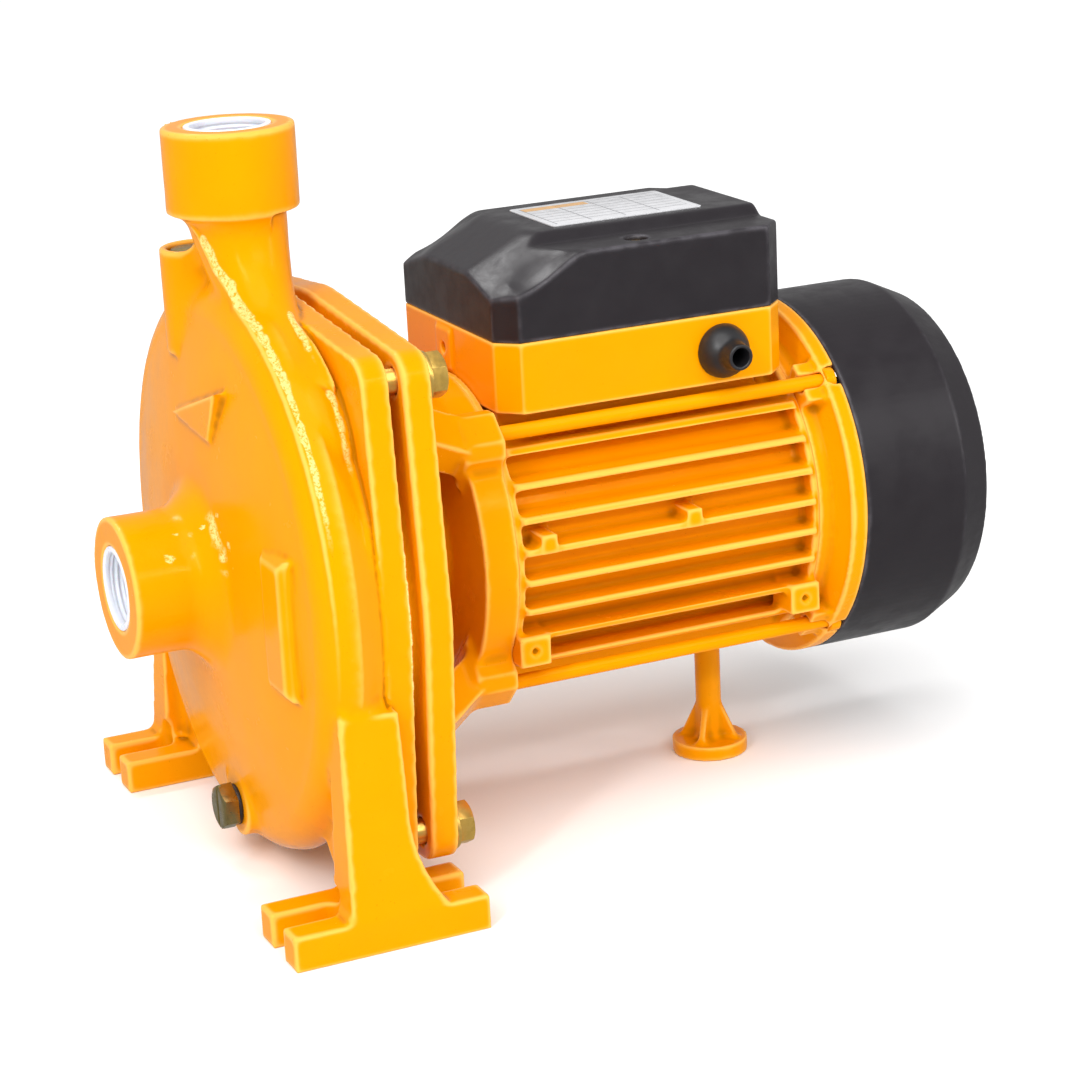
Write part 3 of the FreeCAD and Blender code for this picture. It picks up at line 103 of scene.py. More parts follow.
class Field:
    """Dense signed distances over a box. Its axes x, y, z and the sizes given to it are in mm."""

    def __init__(self, low, high, voxel, reach):
        self.voxel = voxel * MM
        self.half_width = reach / voxel + 3.0
        self.low = np.floor(np.array(low) / voxel).astype(int) - 4
        self.high = np.ceil(np.array(high) / voxel).astype(int) + 4
        axes = [np.arange(self.low[i], self.high[i]) * voxel for i in range(3)]
        self.x = axes[0][:, None, None].astype(np.float32)
        self.y = axes[1][None, :, None].astype(np.float32)
        self.z = axes[2][None, None, :].astype(np.float32)
        self.distance = np.full(self.high - self.low, self.half_width * voxel, np.float32)

    @classmethod
    def of_nodes(cls, names, voxel, reach=4.0):
        meshes = [node_mesh(name) for name in names]
        low = np.min([points.min(0) for points, _ in meshes], axis=0) / MM
        high = np.max([points.max(0) for points, _ in meshes], axis=0) / MM
        field = cls(low, high, voxel, reach)
        for points, triangles in meshes:
            grid = level_set(points, field.voxel, field.half_width, triangles=triangles)
            field.join(field.dense(grid))
        return field

    def dense(self, grid):
        values = np.empty(self.high - self.low, np.float32)
        grid.copyToArray(values, ijk=tuple(int(i) for i in self.low))
        return values / MM

    def quads(self, level=0.0):
        """Points in metres and quads where the distance is a level in mm."""
        grid = openvdb.FloatGrid(self.voxel * self.half_width)
        grid.transform = openvdb.createLinearTransform(voxelSize=self.voxel)
        grid.copyFromArray(self.distance * MM, ijk=tuple(int(i) for i in self.low))
        return grid.convertToQuads(isovalue=level * MM)

    def fillet(self, radius, mask=1.0):
        """Rounds inner corners to a radius where the mask is 1, and less where it falls to 0."""
        points, quads = self.quads(radius)
        grown = self.dense(level_set(points, self.voxel, self.half_width, quads=quads))
        self.distance = np.minimum(self.distance, grown + radius * (2.0 - mask))

    def join(self, other, radius=0.0):
        a, b = self.distance, other
        if not radius:
            self.distance = np.minimum(a, b)
            return
        share = np.clip(0.5 + 0.5 * (b - a) / radius, 0.0, 1.0)
        self.distance = b + (a - b) * share - radius * share * (1.0 - share)

    def cut(self, other, radius=0.0):
        a, b = self.distance, -other
        if not radius:
            self.distance = np.maximum(a, b)
            return
        share = np.clip(0.5 - 0.5 * (b - a) / radius, 0.0, 1.0)
        self.distance = b + (a - b) * share + radius * share * (1.0 - share)

    def around_x(self):
        """Distance from the shaft's axis."""
        return np.hypot(self.y, self.z - AXIS_Z)


def box_field(field, low, high):
    """Distances to an axis-aligned block."""
    middle = [(a + b) / 2 for a, b in zip(low, high)]
    half = [(b - a) / 2 for a, b in zip(low, high)]
    sides = [np.abs(axis - m) - h for axis, m, h in zip((field.x, field.y, field.z), middle, half)]
    outside = np.sqrt(sum(np.maximum(side, 0.0) ** 2 for side in sides))
    inside = np.minimum(np.maximum(np.maximum(sides[0], sides[1]), sides[2]), 0.0)
    return outside + inside


def neighbours(quads):
    pairs = np.vstack([quads[:, [i, (i + 1) % 4]] for i in range(4)])
    pairs.sort(axis=1)
    pairs = np.unique(pairs, axis=0)
    return np.concatenate([pairs[:, 0], pairs[:, 1]]), np.concatenate([pairs[:, 1], pairs[:, 0]])


def averaged(points, start, end, rounds, weight=1.0):
    """Moves points towards the mean of their neighbours, which rounds every edge a little."""
    count = np.bincount(start, minlength=len(points)).astype(float)
    for _ in range(rounds):
        for_mean = [np.bincount(start, weights=points[end, axis], minlength=len(points)) / count
                    for axis in range(3)]
        points = points + 0.5 * weight * (np.stack(for_mean, axis=1) - points)
    return points


def normals_of(points, quads):
    diagonal = points[quads[:, 2]] - points[quads[:, 0]]
    other = points[quads[:, 3]] - points[quads[:, 1]]
    face = np.cross(diagonal, other)
    total = np.stack([np.bincount(quads.ravel(), weights=np.repeat(face[:, axis], 4), minlength=len(points))
                      for axis in range(3)], axis=1)
    return total / np.maximum(np.linalg.norm(total, axis=1), 1e-20)[:, None]


def new_piece(name, points, faces, material, body="root", stands_for=(), smooth=True):
    mesh = bpy.data.meshes.new(name)
    mesh.vertices.add(len(points))
    mesh.vertices.foreach_set("co", np.asarray(points, np.float32).ravel())
    mesh.loops.add(faces.size)
    mesh.loops.foreach_set("vertex_index", faces.astype(np.int32).ravel())
    mesh.polygons.add(len(faces))
    mesh.polygons.foreach_set("loop_start", np.arange(0, faces.size, faces.shape[1], dtype=np.int32))
    mesh.update(calc_edges=True)
    if smooth:
        mesh.shade_smooth()
    mesh.materials.append(material)
    piece = bpy.data.objects.new(name, mesh)
    scene.collection.objects.link(piece)
    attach(piece, body)
    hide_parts(*stands_for)
    return piece


def store(piece, name, values):
    layer = piece.data.attributes.new(name, "FLOAT", "POINT")
    layer.data.foreach_set("value", np.asarray(values, np.float32))


def cad_box(names):
    """Lowest and highest corner of some CAD nodes."""
    clouds = [node_mesh(name)[0] for name in names]
    return np.min([c.min(0) for c in clouds], axis=0), np.max([c.max(0) for c in clouds], axis=0)


def skin(name, field, material, stands_for, rounds=2, body="root", waviness=0.0, keep_flat=None,
         rough=None, lift=None):
    """Piece on a field's zero surface, evened out, with its hollows and ridges stored for the paint, which
    puts painted shade in the hollows and a painted highlight on the ridges.
    """
    points, quads = field.quads()
    points = points.astype(np.float64)
    quads = quads.astype(np.int64)
    start, end = neighbours(quads)
    weight = 1.0
    if keep_flat is not None:
        weight = keep_flat(points / MM)[:, None]
    points = averaged(points, start, end, rounds, weight)
    normals = normals_of(points, quads)
    if waviness:
        swell = wave_noise(points / MM, 26.0, 3) + 0.5 * wave_noise(points / MM, 11.0, 4)
        points = points + normals * (waviness * MM * swell * np.ravel(weight))[:, None]
    if lift is not None:
        points = points + normals * (MM * lift(points / MM))[:, None]
    grain = np.zeros(len(points))
    if rough is not None:
        grain = rough(points / MM)
        bumps = wave_noise(points / MM, 1.9, 5, 24)
        points = points + normals * (0.10 * MM * grain * (bumps + 0.6))[:, None]
    points = np.clip(points, *cad_box(stands_for))
    far = averaged(points, start, end, 14)
    bend = np.einsum("ij,ij->i", far - points, normals) / MM
    piece = new_piece(name, points, quads, material, body, stands_for)
    store(piece, "bend", bend)
    store(piece, "grain", grain)
    return piece


# ------------------------------------------------------------------ materials
class Paint:
    """A Principled material with short ways to add the nodes that drive it."""

    def __init__(self, name, colour, rough, metal=0.0, **values):
        self.material = bpy.data.materials.new(name)
        self.material.use_nodes = True
        self.tree = self.material.node_tree
        self.bsdf = self.tree.nodes["Principled BSDF"]
        self.bsdf.inputs["Base Color"].default_value = (*colour, 1.0)
        self.bsdf.inputs["Roughness"].default_value = rough
        self.bsdf.inputs["Metallic"].default_value = metal
        for key, value in values.items():
            self.bsdf.inputs[key.replace("_", " ")].default_value = value
        self.place = self.node("ShaderNodeTexCoord").outputs["Object"]

    def node(self, kind, **settings):
        node = self.tree.nodes.new(kind)
        for key, value in settings.items():
            setattr(node, key, value)
        return node

    def link(self, value, socket):
        if isinstance(value, (int, float)):
            socket.default_value = value
        elif isinstance(value, tuple):
            socket.default_value = (*value, 1.0) if len(value) == 3 else value
        else:
            self.tree.links.new(value, socket)

    def noise(self, size, detail=3.0, roughness=0.55, stretch=None):
        """Noise whose features are about size mm across."""
        place = self.place
        if stretch:
            mapping = self.node("ShaderNodeMapping")
            mapping.inputs["Scale"].default_value = stretch
            self.link(place, mapping.inputs["Vector"])
            place = mapping.outputs["Vector"]
        node = self.node("ShaderNodeTexNoise")
        node.inputs["Scale"].default_value = 1.0 / (size * MM)
        node.inputs["Detail"].default_value = detail
        node.inputs["Roughness"].default_value = roughness
        self.link(place, node.inputs["Vector"])
        return node.outputs["Fac"]

    def attribute(self, name):
        return self.node("ShaderNodeAttribute", attribute_name=name).outputs["Fac"]

    def ramp(self, value, low, high, to_low=0.0, to_high=1.0):
        node = self.node("ShaderNodeMapRange", interpolation_type="SMOOTHSTEP")
        self.link(value, node.inputs["Value"])
        for key, number in (("From Min", low), ("From Max", high), ("To Min", to_low), ("To Max", to_high)):
            node.inputs[key].default_value = number
        return node.outputs["Result"]

    def maths(self, operation, a, b):
        node = self.node("ShaderNodeMath", operation=operation)
        self.link(a, node.inputs[0])
        self.link(b, node.inputs[1])
        return node.outputs["Value"]

    def mix(self, share, a, b):
        node = self.node("ShaderNodeMix", data_type="RGBA")
        self.link(share, node.inputs["Factor"])
        self.link(a, node.inputs["A"] if isinstance(a, (int, float)) else node.inputs[6])
        self.link(b, node.inputs[7])
        return node.outputs[2]

    def colour(self, value):
        self.link(value, self.bsdf.inputs["Base Color"])

    def rough(self, value):
        self.link(value, self.bsdf.inputs["Roughness"])

    def bump(self, *layers):
        """Layers of (height, depth in mm), each added to the one before."""
        normal = None
        for height, depth in layers:
            node = self.node("ShaderNodeBump")
            node.inputs["Strength"].default_value = 1.0
            node.inputs["Distance"].default_value = depth * MM
            self.link(height, node.inputs["Height"])
            if normal is not None:
                self.link(normal, node.inputs["Normal"])
            normal = node.outputs["Normal"]
        self.link(normal, self.bsdf.inputs["Normal"])


def enamel(name, cast):
    """Thick orange-yellow enamel, with painted shade darkening its hollows and a painted highlight lightening
    its edges.
    """
    paint = Paint(name, (0.82, 0.32, 0.0), 0.25)
    paint.bsdf.inputs["Specular IOR Level"].default_value = 0.14
    paint.bsdf.inputs["Specular Tint"].default_value = (1.0, 0.66, 0.20, 1.0)
    bend = paint.attribute("bend")
    # the bend attribute gives the hollows for painted shade and the ridges for a painted highlight
    hollow = paint.ramp(bend, 0.03, 0.34)
    ridge = paint.ramp(bend, -0.04, -0.30)
    tone = paint.mix(paint.noise(26.0, 3.0), (0.80, 0.280, 0.0), (0.86, 0.320, 0.0))
    # painted shade: hollows darkened towards brown, where shade falls in corners and creases
    painted_shade_tone = paint.mix(paint.maths("MULTIPLY", hollow, 0.85), tone, (0.33, 0.115, 0.0))
    # painted highlight: ridges and edges lightened towards cream
    light = paint.mix(paint.maths("MULTIPLY", ridge, 0.6), painted_shade_tone, (1.0, 0.56, 0.12))
    # pale gold flecks where the cast skin is rough: painted glints of light on that skin
    spots = paint.maths("MULTIPLY", paint.ramp(paint.noise(1.0, 3.0, 0.75), 0.36, 0.56),
                        paint.ramp(paint.attribute("grain"), 0.10, 0.55))
    gold = paint.mix(paint.maths("MULTIPLY", spots, 0.85), light, (1.0, 0.68, 0.25))
    specks = paint.ramp(paint.noise(0.9, 1.0), 0.745, 0.77)
    paint.colour(paint.mix(paint.maths("MULTIPLY", specks, 0.45), gold, (0.50, 0.17, 0.0)))
    blotch = paint.ramp(paint.noise(16.0, 4.0, 0.6), 0.35, 0.7, 0.16, 0.28)
    paint.rough(paint.maths("ADD", blotch, paint.maths("MULTIPLY", spots, 0.15)))
    orange_peel = (paint.noise(1.9, 1.0), 0.03 if cast else 0.02)
    sand = (paint.noise(6.0, 4.0, 0.6), 0.10 if cast else 0.05)
    paint.bump(sand, orange_peel)
    return paint.material


def black_plastic(name):
    """Satin purple-black moulding with a fine texture, lighter towards its convex edges."""
    paint = Paint(name, (0.014, 0.011, 0.014), 0.34)
    paint.bsdf.inputs["Specular IOR Level"].default_value = 0.3
    tone = paint.mix(paint.noise(18.0, 3.0), (0.012, 0.0095, 0.012), (0.017, 0.014, 0.017))
    # lighter towards convex edges, broken up by noise
    ridge = paint.ramp(paint.attribute("bend"), -0.04, -0.30)
    lighter_edges = paint.maths("MULTIPLY", ridge, paint.ramp(paint.noise(6.0, 3.0), 0.35, 0.65, 0.25, 1.0))
    paint.colour(paint.mix(paint.maths("MULTIPLY", lighter_edges, 0.35), tone, (0.16, 0.15, 0.17)))
    paint.rough(paint.ramp(paint.noise(9.0, 4.0), 0.3, 0.7, 0.30, 0.44))
    paint.bump((paint.noise(0.7, 2.0), 0.015), (paint.noise(16.0, 2.0), 0.04))
    return paint.material


def port_plastic(name):
    paint = Paint(name, (0.76, 0.79, 0.86), 0.32, Subsurface_Weight=0.15)
    paint.bsdf.inputs["Subsurface Scale"].default_value = 0.002
    paint.colour(paint.mix(paint.noise(5.0, 3.0), (0.68, 0.72, 0.82), (0.84, 0.86, 0.91)))
    paint.rough(paint.ramp(paint.noise(3.0, 3.0), 0.3, 0.7, 0.26, 0.42))
    paint.bump((paint.noise(1.2, 2.0), 0.015))
    return paint.material


def metal(name, dark, light, rough, grain=(1.0, 1.0, 1.0), scale=2.0, metallic=1.0, stains=None):
    """Machined or drawn metal with fine tool marks and slight staining."""
    paint = Paint(name, light, rough, metallic)
    tone = paint.mix(paint.noise(4.0, 4.0, 0.6), dark, light)
    if stains:
        tone = paint.mix(paint.ramp(paint.noise(6.0, 5.0, 0.65), 0.52, 0.72, 0.0, 0.8), tone, stains)
    paint.colour(tone)
    paint.rough(paint.ramp(paint.noise(2.5, 4.0), 0.3, 0.7, rough * 0.8, min(1.0, rough * 1.35)))
    paint.bump((paint.noise(scale, 3.0, 0.6, grain), 0.02))
    return paint.material


def soft_dull(name, low, high, rough, grain=0.5):
    """Rubber, moulded nylon, ceramic and other dull materials."""
    paint = Paint(name, low, rough)
    paint.colour(paint.mix(paint.noise(7.0, 4.0), low, high))
    paint.rough(paint.ramp(paint.noise(4.0, 3.0), 0.3, 0.7, rough * 0.85, min(1.0, rough * 1.15)))
    paint.bump((paint.noise(grain, 2.0), 0.02), (paint.noise(5.0, 2.0), 0.04))
    return paint.material


def plate_finish(name):
    """Blank silver plate with a plain printed grid and no lettering."""
    paint = Paint(name, (0.72, 0.72, 0.74), 0.34, 0.35)
    split = paint.node("ShaderNodeSeparateXYZ")
    paint.link(paint.place, split.inputs["Vector"])

    def stripes(axis, pitch, share, offset):
        moved = paint.maths("ADD", split.outputs[axis], offset * MM)
        cell = paint.maths("FRACT", paint.maths("DIVIDE", moved, pitch * MM), 0.0)
        return paint.maths("LESS_THAN", cell, share)

    def within(axis, low, high):
        return paint.maths("MULTIPLY", paint.maths("GREATER_THAN", split.outputs[axis], low * MM),
                           paint.maths("LESS_THAN", split.outputs[axis], high * MM))

    inside = paint.maths("MULTIPLY", within("X", 106.5, 157.5), within("Y", -15.5, 15.5))
    lines = paint.maths("MAXIMUM", stripes("Y", 4.4, 0.10, 16.0), stripes("X", 12.7, 0.035, -106.6))
    ink = paint.maths("MULTIPLY", inside, lines)
    band = paint.maths("MULTIPLY", within("X", 107.0, 131.0), within("Y", 10.4, 15.2))
    base = paint.mix(paint.noise(5.0, 4.0), (0.62, 0.62, 0.64), (0.80, 0.80, 0.82))
    printed = paint.mix(paint.maths("MULTIPLY", ink, 0.75), base, (0.12, 0.12, 0.13))
    paint.colour(paint.mix(paint.maths("MULTIPLY", band, 0.8), printed, (0.85, 0.42, 0.05)))
    paint.rough(paint.ramp(paint.noise(3.0, 3.0), 0.3, 0.7, 0.26, 0.42))
    paint.bump((paint.noise(1.0, 2.0, 0.5, (0.08, 1.0, 1.0)), 0.01))
    return paint.material


CAST = enamel("casing_enamel", True)
DIE_CAST = enamel("motor_enamel", False)
BLACK = black_plastic("cover_plastic")
WHITE = port_plastic("port_plastic")
BRASS = metal("plug_brass", (0.20, 0.15, 0.055), (0.42, 0.33, 0.14), 0.32, stains=(0.10, 0.075, 0.03))
GOLD_ZINC = metal("zinc_steel", (0.66, 0.38, 0.06), (0.90, 0.62, 0.18), 0.36, stains=(0.50, 0.27, 0.05))
RUBBER = soft_dull("rubber", (0.008, 0.008, 0.009), (0.014, 0.013, 0.015), 0.42)
finishes = {
    "casing_enamel": CAST, "motor_enamel": DIE_CAST, "cover_plastic": BLACK, "port_plastic": WHITE,
    "plug_brass": BRASS, "zinc_steel": GOLD_ZINC, "rubber": RUBBER,
    "impeller_brass": metal("impeller_brass", (0.48, 0.34, 0.12), (0.68, 0.50, 0.20), 0.35),
    "bright_steel": metal("bright_steel", (0.42, 0.42, 0.43), (0.62, 0.62, 0.64), 0.24, (0.1, 1.0, 1.0)),
    "bearing_steel": metal("bearing_steel", (0.58, 0.58, 0.60), (0.74, 0.74, 0.76), 0.12),
    "lamination_steel": metal("lamination_steel", (0.16, 0.16, 0.18), (0.30, 0.30, 0.32), 0.42,
                              (6.0, 0.2, 0.2), 1.0),
    "copper_winding": metal("copper_winding", (0.36, 0.12, 0.03), (0.62, 0.26, 0.09), 0.34, (0.3, 2.0, 2.0),
                            1.2, 0.8),
    "cast_aluminium": metal("cast_aluminium", (0.50, 0.50, 0.52), (0.68, 0.68, 0.70), 0.42),
    "seal_ceramic": soft_dull("seal_ceramic", (0.76, 0.73, 0.64), (0.86, 0.83, 0.75), 0.22),
    "seal_carbon": soft_dull("seal_carbon", (0.03, 0.03, 0.034), (0.06, 0.06, 0.065), 0.36),
    "fan_plastic": soft_dull("fan_plastic", (0.03, 0.03, 0.033), (0.05, 0.05, 0.055), 0.45),
    "capacitor_plastic": soft_dull("capacitor_plastic", (0.55, 0.57, 0.58), (0.64, 0.65, 0.66), 0.35),
    "terminal_plastic": soft_dull("terminal_plastic", (0.62, 0.58, 0.46), (0.72, 0.68, 0.56), 0.45),
    "plate_aluminium": plate_finish("plate_aluminium"),
}
for row in frame["record"]["subparts"]:
    painted = nodes[row["node"]].data.materials
    painted.clear()
    painted.append(finishes[row["material_slot"]])


def break_edges(name, width):
    """Small rounded edges on a turned or pressed CAD part."""
    weld = nodes[name].modifiers.new("weld", "WELD")
    weld.merge_threshold = 0.002 * MM
    bevel = nodes[name].modifiers.new("edges", "BEVEL")
    bevel.width = width * MM
    bevel.segments = 2
    bevel.limit_method = "ANGLE"
    bevel.angle_limit = math.radians(32.0)
    bevel.harden_normals = True
    nodes[name].data.shade_smooth()


for part, edge in (("flange_bolts", 0.45), ("flange_washers", 0.25), ("tie_rods", 0.35),
                   ("cover_screws", 0.3), ("earth_screw", 0.3), ("drain_plug", 0.4),
                   ("priming_plug", 0.5), ("nameplate", 0.08),
                   ("drain_plug_seal", 0.3), ("priming_plug_seal", 0.3), ("support_foot_stud", 0.25),
                   ("box_gasket", 0.15), ("box_screws", 0.25)):
    break_edges(part, edge)


# ------------------------------------------------------------------ the castings
def ring_path(x, radius, from_degrees, to_degrees):
    """Points on a circle about the shaft; degrees run from the top towards -Y."""
    turns = [math.radians(from_degrees + (to_degrees - from_degrees) * i / 14) for i in range(15)]
    return [(x, -radius * math.sin(turn), AXIS_Z + radius * math.cos(turn)) for turn in turns]


NECK_RIDGE = [(-15.6, -4.0, 218.0), (-12.2, -11.5, 203.0)] + ring_path(-9.2, 94.2, 14.0, 112.0)
BACK_SEAM = ring_path(4.8, 95.6, 20.0, 50.0) + [(5.2, -77.2, 147.8), (7.0, -82.3, 135.4), (8.0, -85.5, 118.0)]

# painted highlight: two pale streaks along the hub's root, painted gold through the rough-skin mask
HUB_STREAKS = [(ring_path(-24.0, 31.5, 28.0, 82.0), 3.4), (ring_path(-30.0, 26.0, 30.0, 70.0), 1.8)]


def off_path(points, path):
    """Distance to a line of points, and how far along it each point lies, from 0 to 1."""
    path = np.array(path)
    best = np.full(len(points), 1e9)
    along = np.zeros(len(points))
    near = np.flatnonzero((points > path.min(0) - 9.0).all(1) & (points < path.max(0) + 9.0).all(1))
    for i in range(len(path) - 1):
        step = path[i + 1] - path[i]
        share = np.clip((points[near] - path[i]) @ step / (step @ step), 0.0, 1.0)
        gap = np.linalg.norm(points[near] - path[i] - share[:, None] * step, axis=1)
        closer = gap < best[near]
        best[near[closer]] = gap[closer]
        along[near[closer]] = (i + share[closer]) / (len(path) - 1)
    return best, along


def casing_ridges(points):
    """Height of the parting ridge down the neck and round the rim, and of the seam behind it."""
    off, along = off_path(points, NECK_RIDGE)
    crest = 0.75 * np.exp(-(off / 1.1) ** 2) * (1.0 - smooth_step(along, 0.55, 1.0))
    off, along = off_path(points, BACK_SEAM)
    return crest + 0.4 * np.exp(-(off / 0.9) ** 2) * (1.0 - smooth_step(along, 0.7, 1.0))


def rough_skin_and_glints(points):
    """Where the casting's skin is rough under the paint: real bumps there, and pale gold flecks painted over
    them as glints; the streaks round the hub are a painted highlight.
    """
    ragged = 0.45 * wave_noise(points, 5.0, 9)
    beside = points + np.array((-1.6, 1.0, -0.6))
    off, along = off_path(beside, NECK_RIDGE)
    width = 2.3 - 1.0 * smooth_step(along, 0.05, 0.4) + ragged
    ridge = (1.0 - smooth_step(off, 0.3 * width, width)) * (1.0 - smooth_step(along, 0.42, 0.72))
    off, along = off_path(points, BACK_SEAM)
    seam = (1.0 - smooth_step(off, 0.4, 1.7 + ragged)) * (1.0 - smooth_step(along, 0.7, 0.98))
    x, y, z = points.T
    hub = np.hypot(y, z - AXIS_Z)
    # painted highlight streaks round the hub root
    hub_root = np.zeros(len(points))
    for path, reach in HUB_STREAKS:
        off, along = off_path(points, path)
        ends = smooth_step(along, 0.0, 0.25) * (1.0 - smooth_step(along, 0.75, 1.0))
        streak = 1.0 - smooth_step(off, 0.3 * reach, reach + 2.0 * ragged)
        hub_root = np.maximum(hub_root, streak * ends)
    inner_flange = smooth_step(x, 16.2, 16.9) * smooth_step(hub, 84.0, 86.0)
    inner_flange = inner_flange * (1.0 - smooth_step(hub, 90.0, 93.0))
    return np.clip(ridge + seam + inner_flange + 0.7 * hub_root, 0.0, 1.0)


def build_casing():
    names = [n for n in ("volute_casing", "discharge_neck", "near_leg", "far_leg") if n in nodes]
    field = Field.of_nodes(names, 0.68, 8.0)
    radius = field.around_x()
    outside = 1.0 - smooth_step(field.x, 6.0, 8.5)
    top = smooth_step(field.z, 165.0, 175.0) * (1.0 - smooth_step(field.z, 226.0, 230.0))
    hub = (1.0 - smooth_step(radius, 38.0, 48.0)) * (1.0 - smooth_step(field.x, -20.0, -14.0))
    hub = hub * smooth_step(field.x, -40.0, -34.0)
    drain_boss = np.hypot(field.y - DRAIN_Y, field.z - DRAIN_Z)
    drain = (1.0 - smooth_step(drain_boss, 17.0, 22.0)) * (1.0 - smooth_step(field.x, -6, -2))
    marks = (1.0 - smooth_step(radius, 80.0, 86.0)) * (1.0 - smooth_step(field.x, -12.0, -8.0))
    field.fillet(2.2, outside * (1.0 - marks))
    field.fillet(0.8, outside)
    field.fillet(6.5, np.maximum(hub, top) * outside)
    legs = (1.0 - smooth_step(field.z, 82.0, 88.0)) * smooth_step(np.abs(field.y), 64.0, 70.0)
    legs = legs * (1.0 - marks)
    field.fillet(4.0, np.maximum(drain, legs) * outside * smooth_step(field.z, 10.5, 13.0))

    def keep(points):
        floor = smooth_step(points[:, 2], 0.05, 1.0)
        return 0.15 + 0.85 * floor

    return skin("casing_cast", field, CAST, names, 3, waviness=0.05,
                keep_flat=keep, rough=rough_skin_and_glints, lift=casing_ridges)


def build_bracket():
    field = Field.of_nodes(["motor_bracket"], 0.65, 5.0)
    field.fillet(3.0, smooth_step(field.x, 31.0, 33.0))
    field.fillet(1.2)
    return skin("bracket_cast", field, CAST, ["motor_bracket"], 3, waviness=0.05)


def build_frame():
    field = Field.of_nodes(["motor_frame"], 0.6, 3.0)
    field.fillet(1.2)
    return skin("frame_cast", field, DIE_CAST, ["motor_frame"], 2, waviness=0.03)


def build_shield():
    field = Field.of_nodes(["rear_end_shield"], 0.65, 3.5)
    field.fillet(1.5)
    return skin("shield_cast", field, DIE_CAST, ["rear_end_shield"], 2, waviness=0.02)


def build_box_base():
    field = Field.of_nodes(["terminal_box_base"], 0.55, 3.0)
    field.fillet(1.0)
    return skin("box_base_moulded", field, DIE_CAST, ["terminal_box_base"], 2,
                waviness=0.02)


def build_box_cover():
    """Moulded cover: chamfered corners, arched front slope, raised middle with hollow fillets."""
    low = (BOX_FRONT, -BOX_HALF_WIDTH, BOX_JOINT_Z)
    high = (BOX_REAR, BOX_HALF_WIDTH, PLATEAU_Z)
    field = Field(low, high, 0.6, 4.0)
    side = np.abs(field.y)
    arch = 5.0 * smooth_step(side, 15.0, 38.0) + 2.8 * smooth_step(side, 36.0, BOX_HALF_WIDTH)
    slope = 192.0 - arch + 0.50 * (field.x - BOX_FRONT)
    middle = LEDGE_Z + (PLATEAU_Z - LEDGE_Z) * (1.0 - smooth_step(side, 21.2, 27.5))
    edge = 1.4
    share = np.clip(0.5 + 0.5 * (middle - slope) / edge, 0.0, 1.0)
    top = middle + (slope - middle) * share - edge * share * (1.0 - share)
    block = box_field(field, (low[0], low[1], BOX_JOINT_Z - 12.0), (high[0], high[1], PLATEAU_Z + 17.0))
    half_length = (BOX_REAR - BOX_FRONT) / 2
    corner = np.abs(field.x - BOX_FRONT - half_length) + side - (half_length + BOX_HALF_WIDTH - BOX_CORNER)
    field.distance = np.maximum(block, corner * math.sqrt(0.5)) + 0.0 * field.z
    field.cut(-(field.z - top) * 0.88, 1.2)
    # hollow between the front slope and the ledge, on both sides
    start_x, start_z, length = 78.5, 187.8, 20.5
    share = np.clip((field.x - start_x) / length, 0.0, 1.0)
    hollow = 5.5 * share * (1.0 - share) * smooth_step(side, 21.7, 40.0)
    scoop = (-0.459 * (field.x - start_x) + 0.263 * (side - BOX_HALF_WIDTH)
             + 0.848 * (field.z - start_z) + 0.2 + hollow)
    field.cut(-scoop, 0.6)
    inner = field.distance + COVER_WALL
    field.cut(inner)
    field.cut(field.z - BOX_JOINT_Z)
    for screw_side in (-1, 1):
        off_screw = np.hypot(field.x - COVER_SCREW_X, field.y - screw_side * COVER_SCREW_Y)
        well = np.maximum(off_screw - 4.0, 195.9 - field.z)
        tube = np.maximum(off_screw - 6.0, field.z - 199.0)
        field.join(np.maximum(tube, BOX_JOINT_Z - field.z))
        field.cut(well, 0.8)
    return skin("box_cover_moulded", field, BLACK, ["terminal_box_cover"], 2)


def build_fan_cover():
    field = Field.of_nodes(["fan_cover"], 0.65, 3.0)
    return skin("fan_cover_moulded", field, BLACK, ["fan_cover"], 3)


def build_grommet():
    field = Field.of_nodes(["cable_grommet"], 0.4, 3.0)
    field.fillet(1.5)
    return skin("grommet_moulded", field, RUBBER, ["cable_grommet"], 4)


def build_lining(node, name, depth_of):
    """Port lining with the moulded pipe thread inside; depth_of gives the distance along its bore."""
    field = Field.of_nodes([node], 0.35, 2.5)
    depth, across, turn = depth_of(field)
    pitch = 25.4 / 14
    tooth = 0.34 * np.cos(2.0 * math.pi * (depth / pitch - turn / (2.0 * math.pi)))
    threaded = smooth_step(depth, 1.6, 2.4)
    bore = across - PORT_RADIUS
    field.distance = np.maximum(field.distance, (0.4 + tooth) * threaded - bore)
    return skin(name, field, WHITE, [node], 1)


def build_suction_lining():
    return build_lining("suction_port_lining", "suction_lining_moulded", lambda f: (
        f.x - SUCTION_FACE_X, np.hypot(f.y, f.z - AXIS_Z), np.arctan2(f.z - AXIS_Z, f.y)))


def build_discharge_lining():
    return build_lining("discharge_port_lining", "discharge_lining_moulded", lambda f: (
        DISCHARGE_FACE_Z - f.z, np.hypot(f.x, f.y), np.arctan2(f.y, f.x)))


def build_support():
    field = Field.of_nodes(["rear_support_foot"], 0.55, 4.0)
    field.fillet(2.0, smooth_step(field.z, 4.0, 5.0))
    return skin("support_foot_cast", field, DIE_CAST, ["rear_support_foot"], 2,
                waviness=0.02)


for build in (build_casing, build_bracket, build_frame, build_shield, build_box_base, build_box_cover,
              build_fan_cover, build_grommet, build_suction_lining, build_discharge_lining, build_support):
    build()


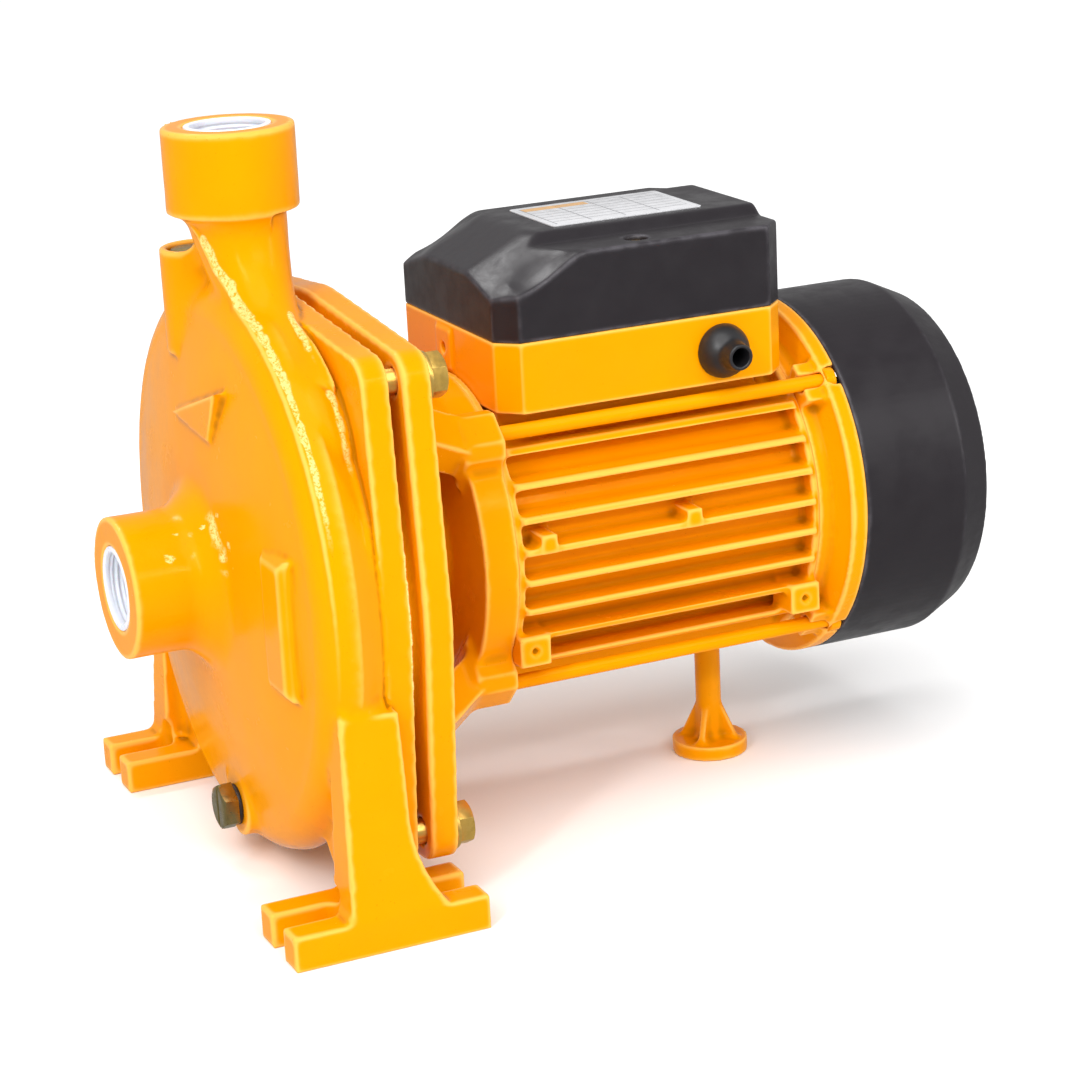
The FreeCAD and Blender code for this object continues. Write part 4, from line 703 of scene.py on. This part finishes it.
# ------------------------------------------------------------------ stage
def camera():
    azimuth, elevation, roll = (math.radians(a) for a in (-23.95, 17.05, -2.9))
    back = Vector((math.sin(azimuth) * math.cos(elevation),
                   -math.cos(azimuth) * math.cos(elevation), math.sin(elevation)))
    target = Vector((103.0, 3.08, 89.3)) * MM
    right = (-back).cross(Vector((0, 0, 1))).normalized()
    up = right.cross(-back)
    side = math.cos(roll) * right + math.sin(roll) * up
    top = -math.sin(roll) * right + math.cos(roll) * up
    data = bpy.data.cameras.new("camera")
    data.lens, data.sensor_width = 98.2, 36.0
    data.clip_start, data.clip_end = 0.01, 20.0
    eye = bpy.data.objects.new("camera", data)
    eye.matrix_world = Matrix((side, top, back)).transposed().to_4x4()
    eye.location = target + back * 1.0267
    scene.collection.objects.link(eye)
    scene.camera = eye


def soft_box(name, place, aim, width, height, power):
    data = bpy.data.lights.new(name, "AREA")
    data.energy = power
    data.shape, data.size, data.size_y = "RECTANGLE", width, height
    lamp = bpy.data.objects.new(name, data)
    lamp.location = place
    lamp.rotation_euler = (Vector(aim) - Vector(place)).to_track_quat("-Z", "Y").to_euler()
    scene.collection.objects.link(lamp)


def studio():
    world = bpy.data.worlds.new("studio")
    world.use_nodes = True
    world.node_tree.nodes["Background"].inputs["Color"].default_value = (1, 1, 1, 1)
    world.node_tree.nodes["Background"].inputs["Strength"].default_value = 0.50
    scene.world = world
    scene.view_settings.view_transform = "Standard"
    sky = bpy.data.lights.new("sky", "SUN")
    sky.energy, sky.angle = 2.2, math.radians(60.0)
    lamp = bpy.data.objects.new("sky", sky)
    toward_floor = Vector((0, 0, 0)) - Vector((-0.35, -0.55, 1.0))
    lamp.rotation_euler = toward_floor.to_track_quat("-Z", "Y").to_euler()
    scene.collection.objects.link(lamp)
    soft_box("key", (-0.75, -0.75, 0.75), (0.0, 0, 0.12), 0.10, 0.6, 4.5)
    soft_box("front", (0.25, -1.1, 0.75), (0.1, 0, 0.1), 0.7, 0.08, 3.5)
    soft_box("side", (1.1, -0.8, 0.6), (0.15, 0, 0.1), 0.08, 0.7, 3.0)
    soft_box("back", (-0.15, 0.7, 1.2), (0.08, 0, 0.18), 0.5, 0.12, 4.0)
    mesh = bpy.data.meshes.new("floor")
    half, drop = 8.0, -0.0002
    mesh.from_pydata([(-half, -half, drop), (half, -half, drop), (half, half, drop), (-half, half, drop)],
                     [], [(0, 1, 2, 3)])
    floor = bpy.data.objects.new("floor", mesh)
    paint = Paint("floor", (0.94, 0.94, 0.94), 0.9)
    paint.bsdf.inputs["Specular IOR Level"].default_value = 0.0
    paint.bump((paint.noise(3.0, 2.0), 0.005))
    mesh.materials.append(paint.material)
    floor.visible_glossy = False
    scene.collection.objects.link(floor)


camera()
studio()
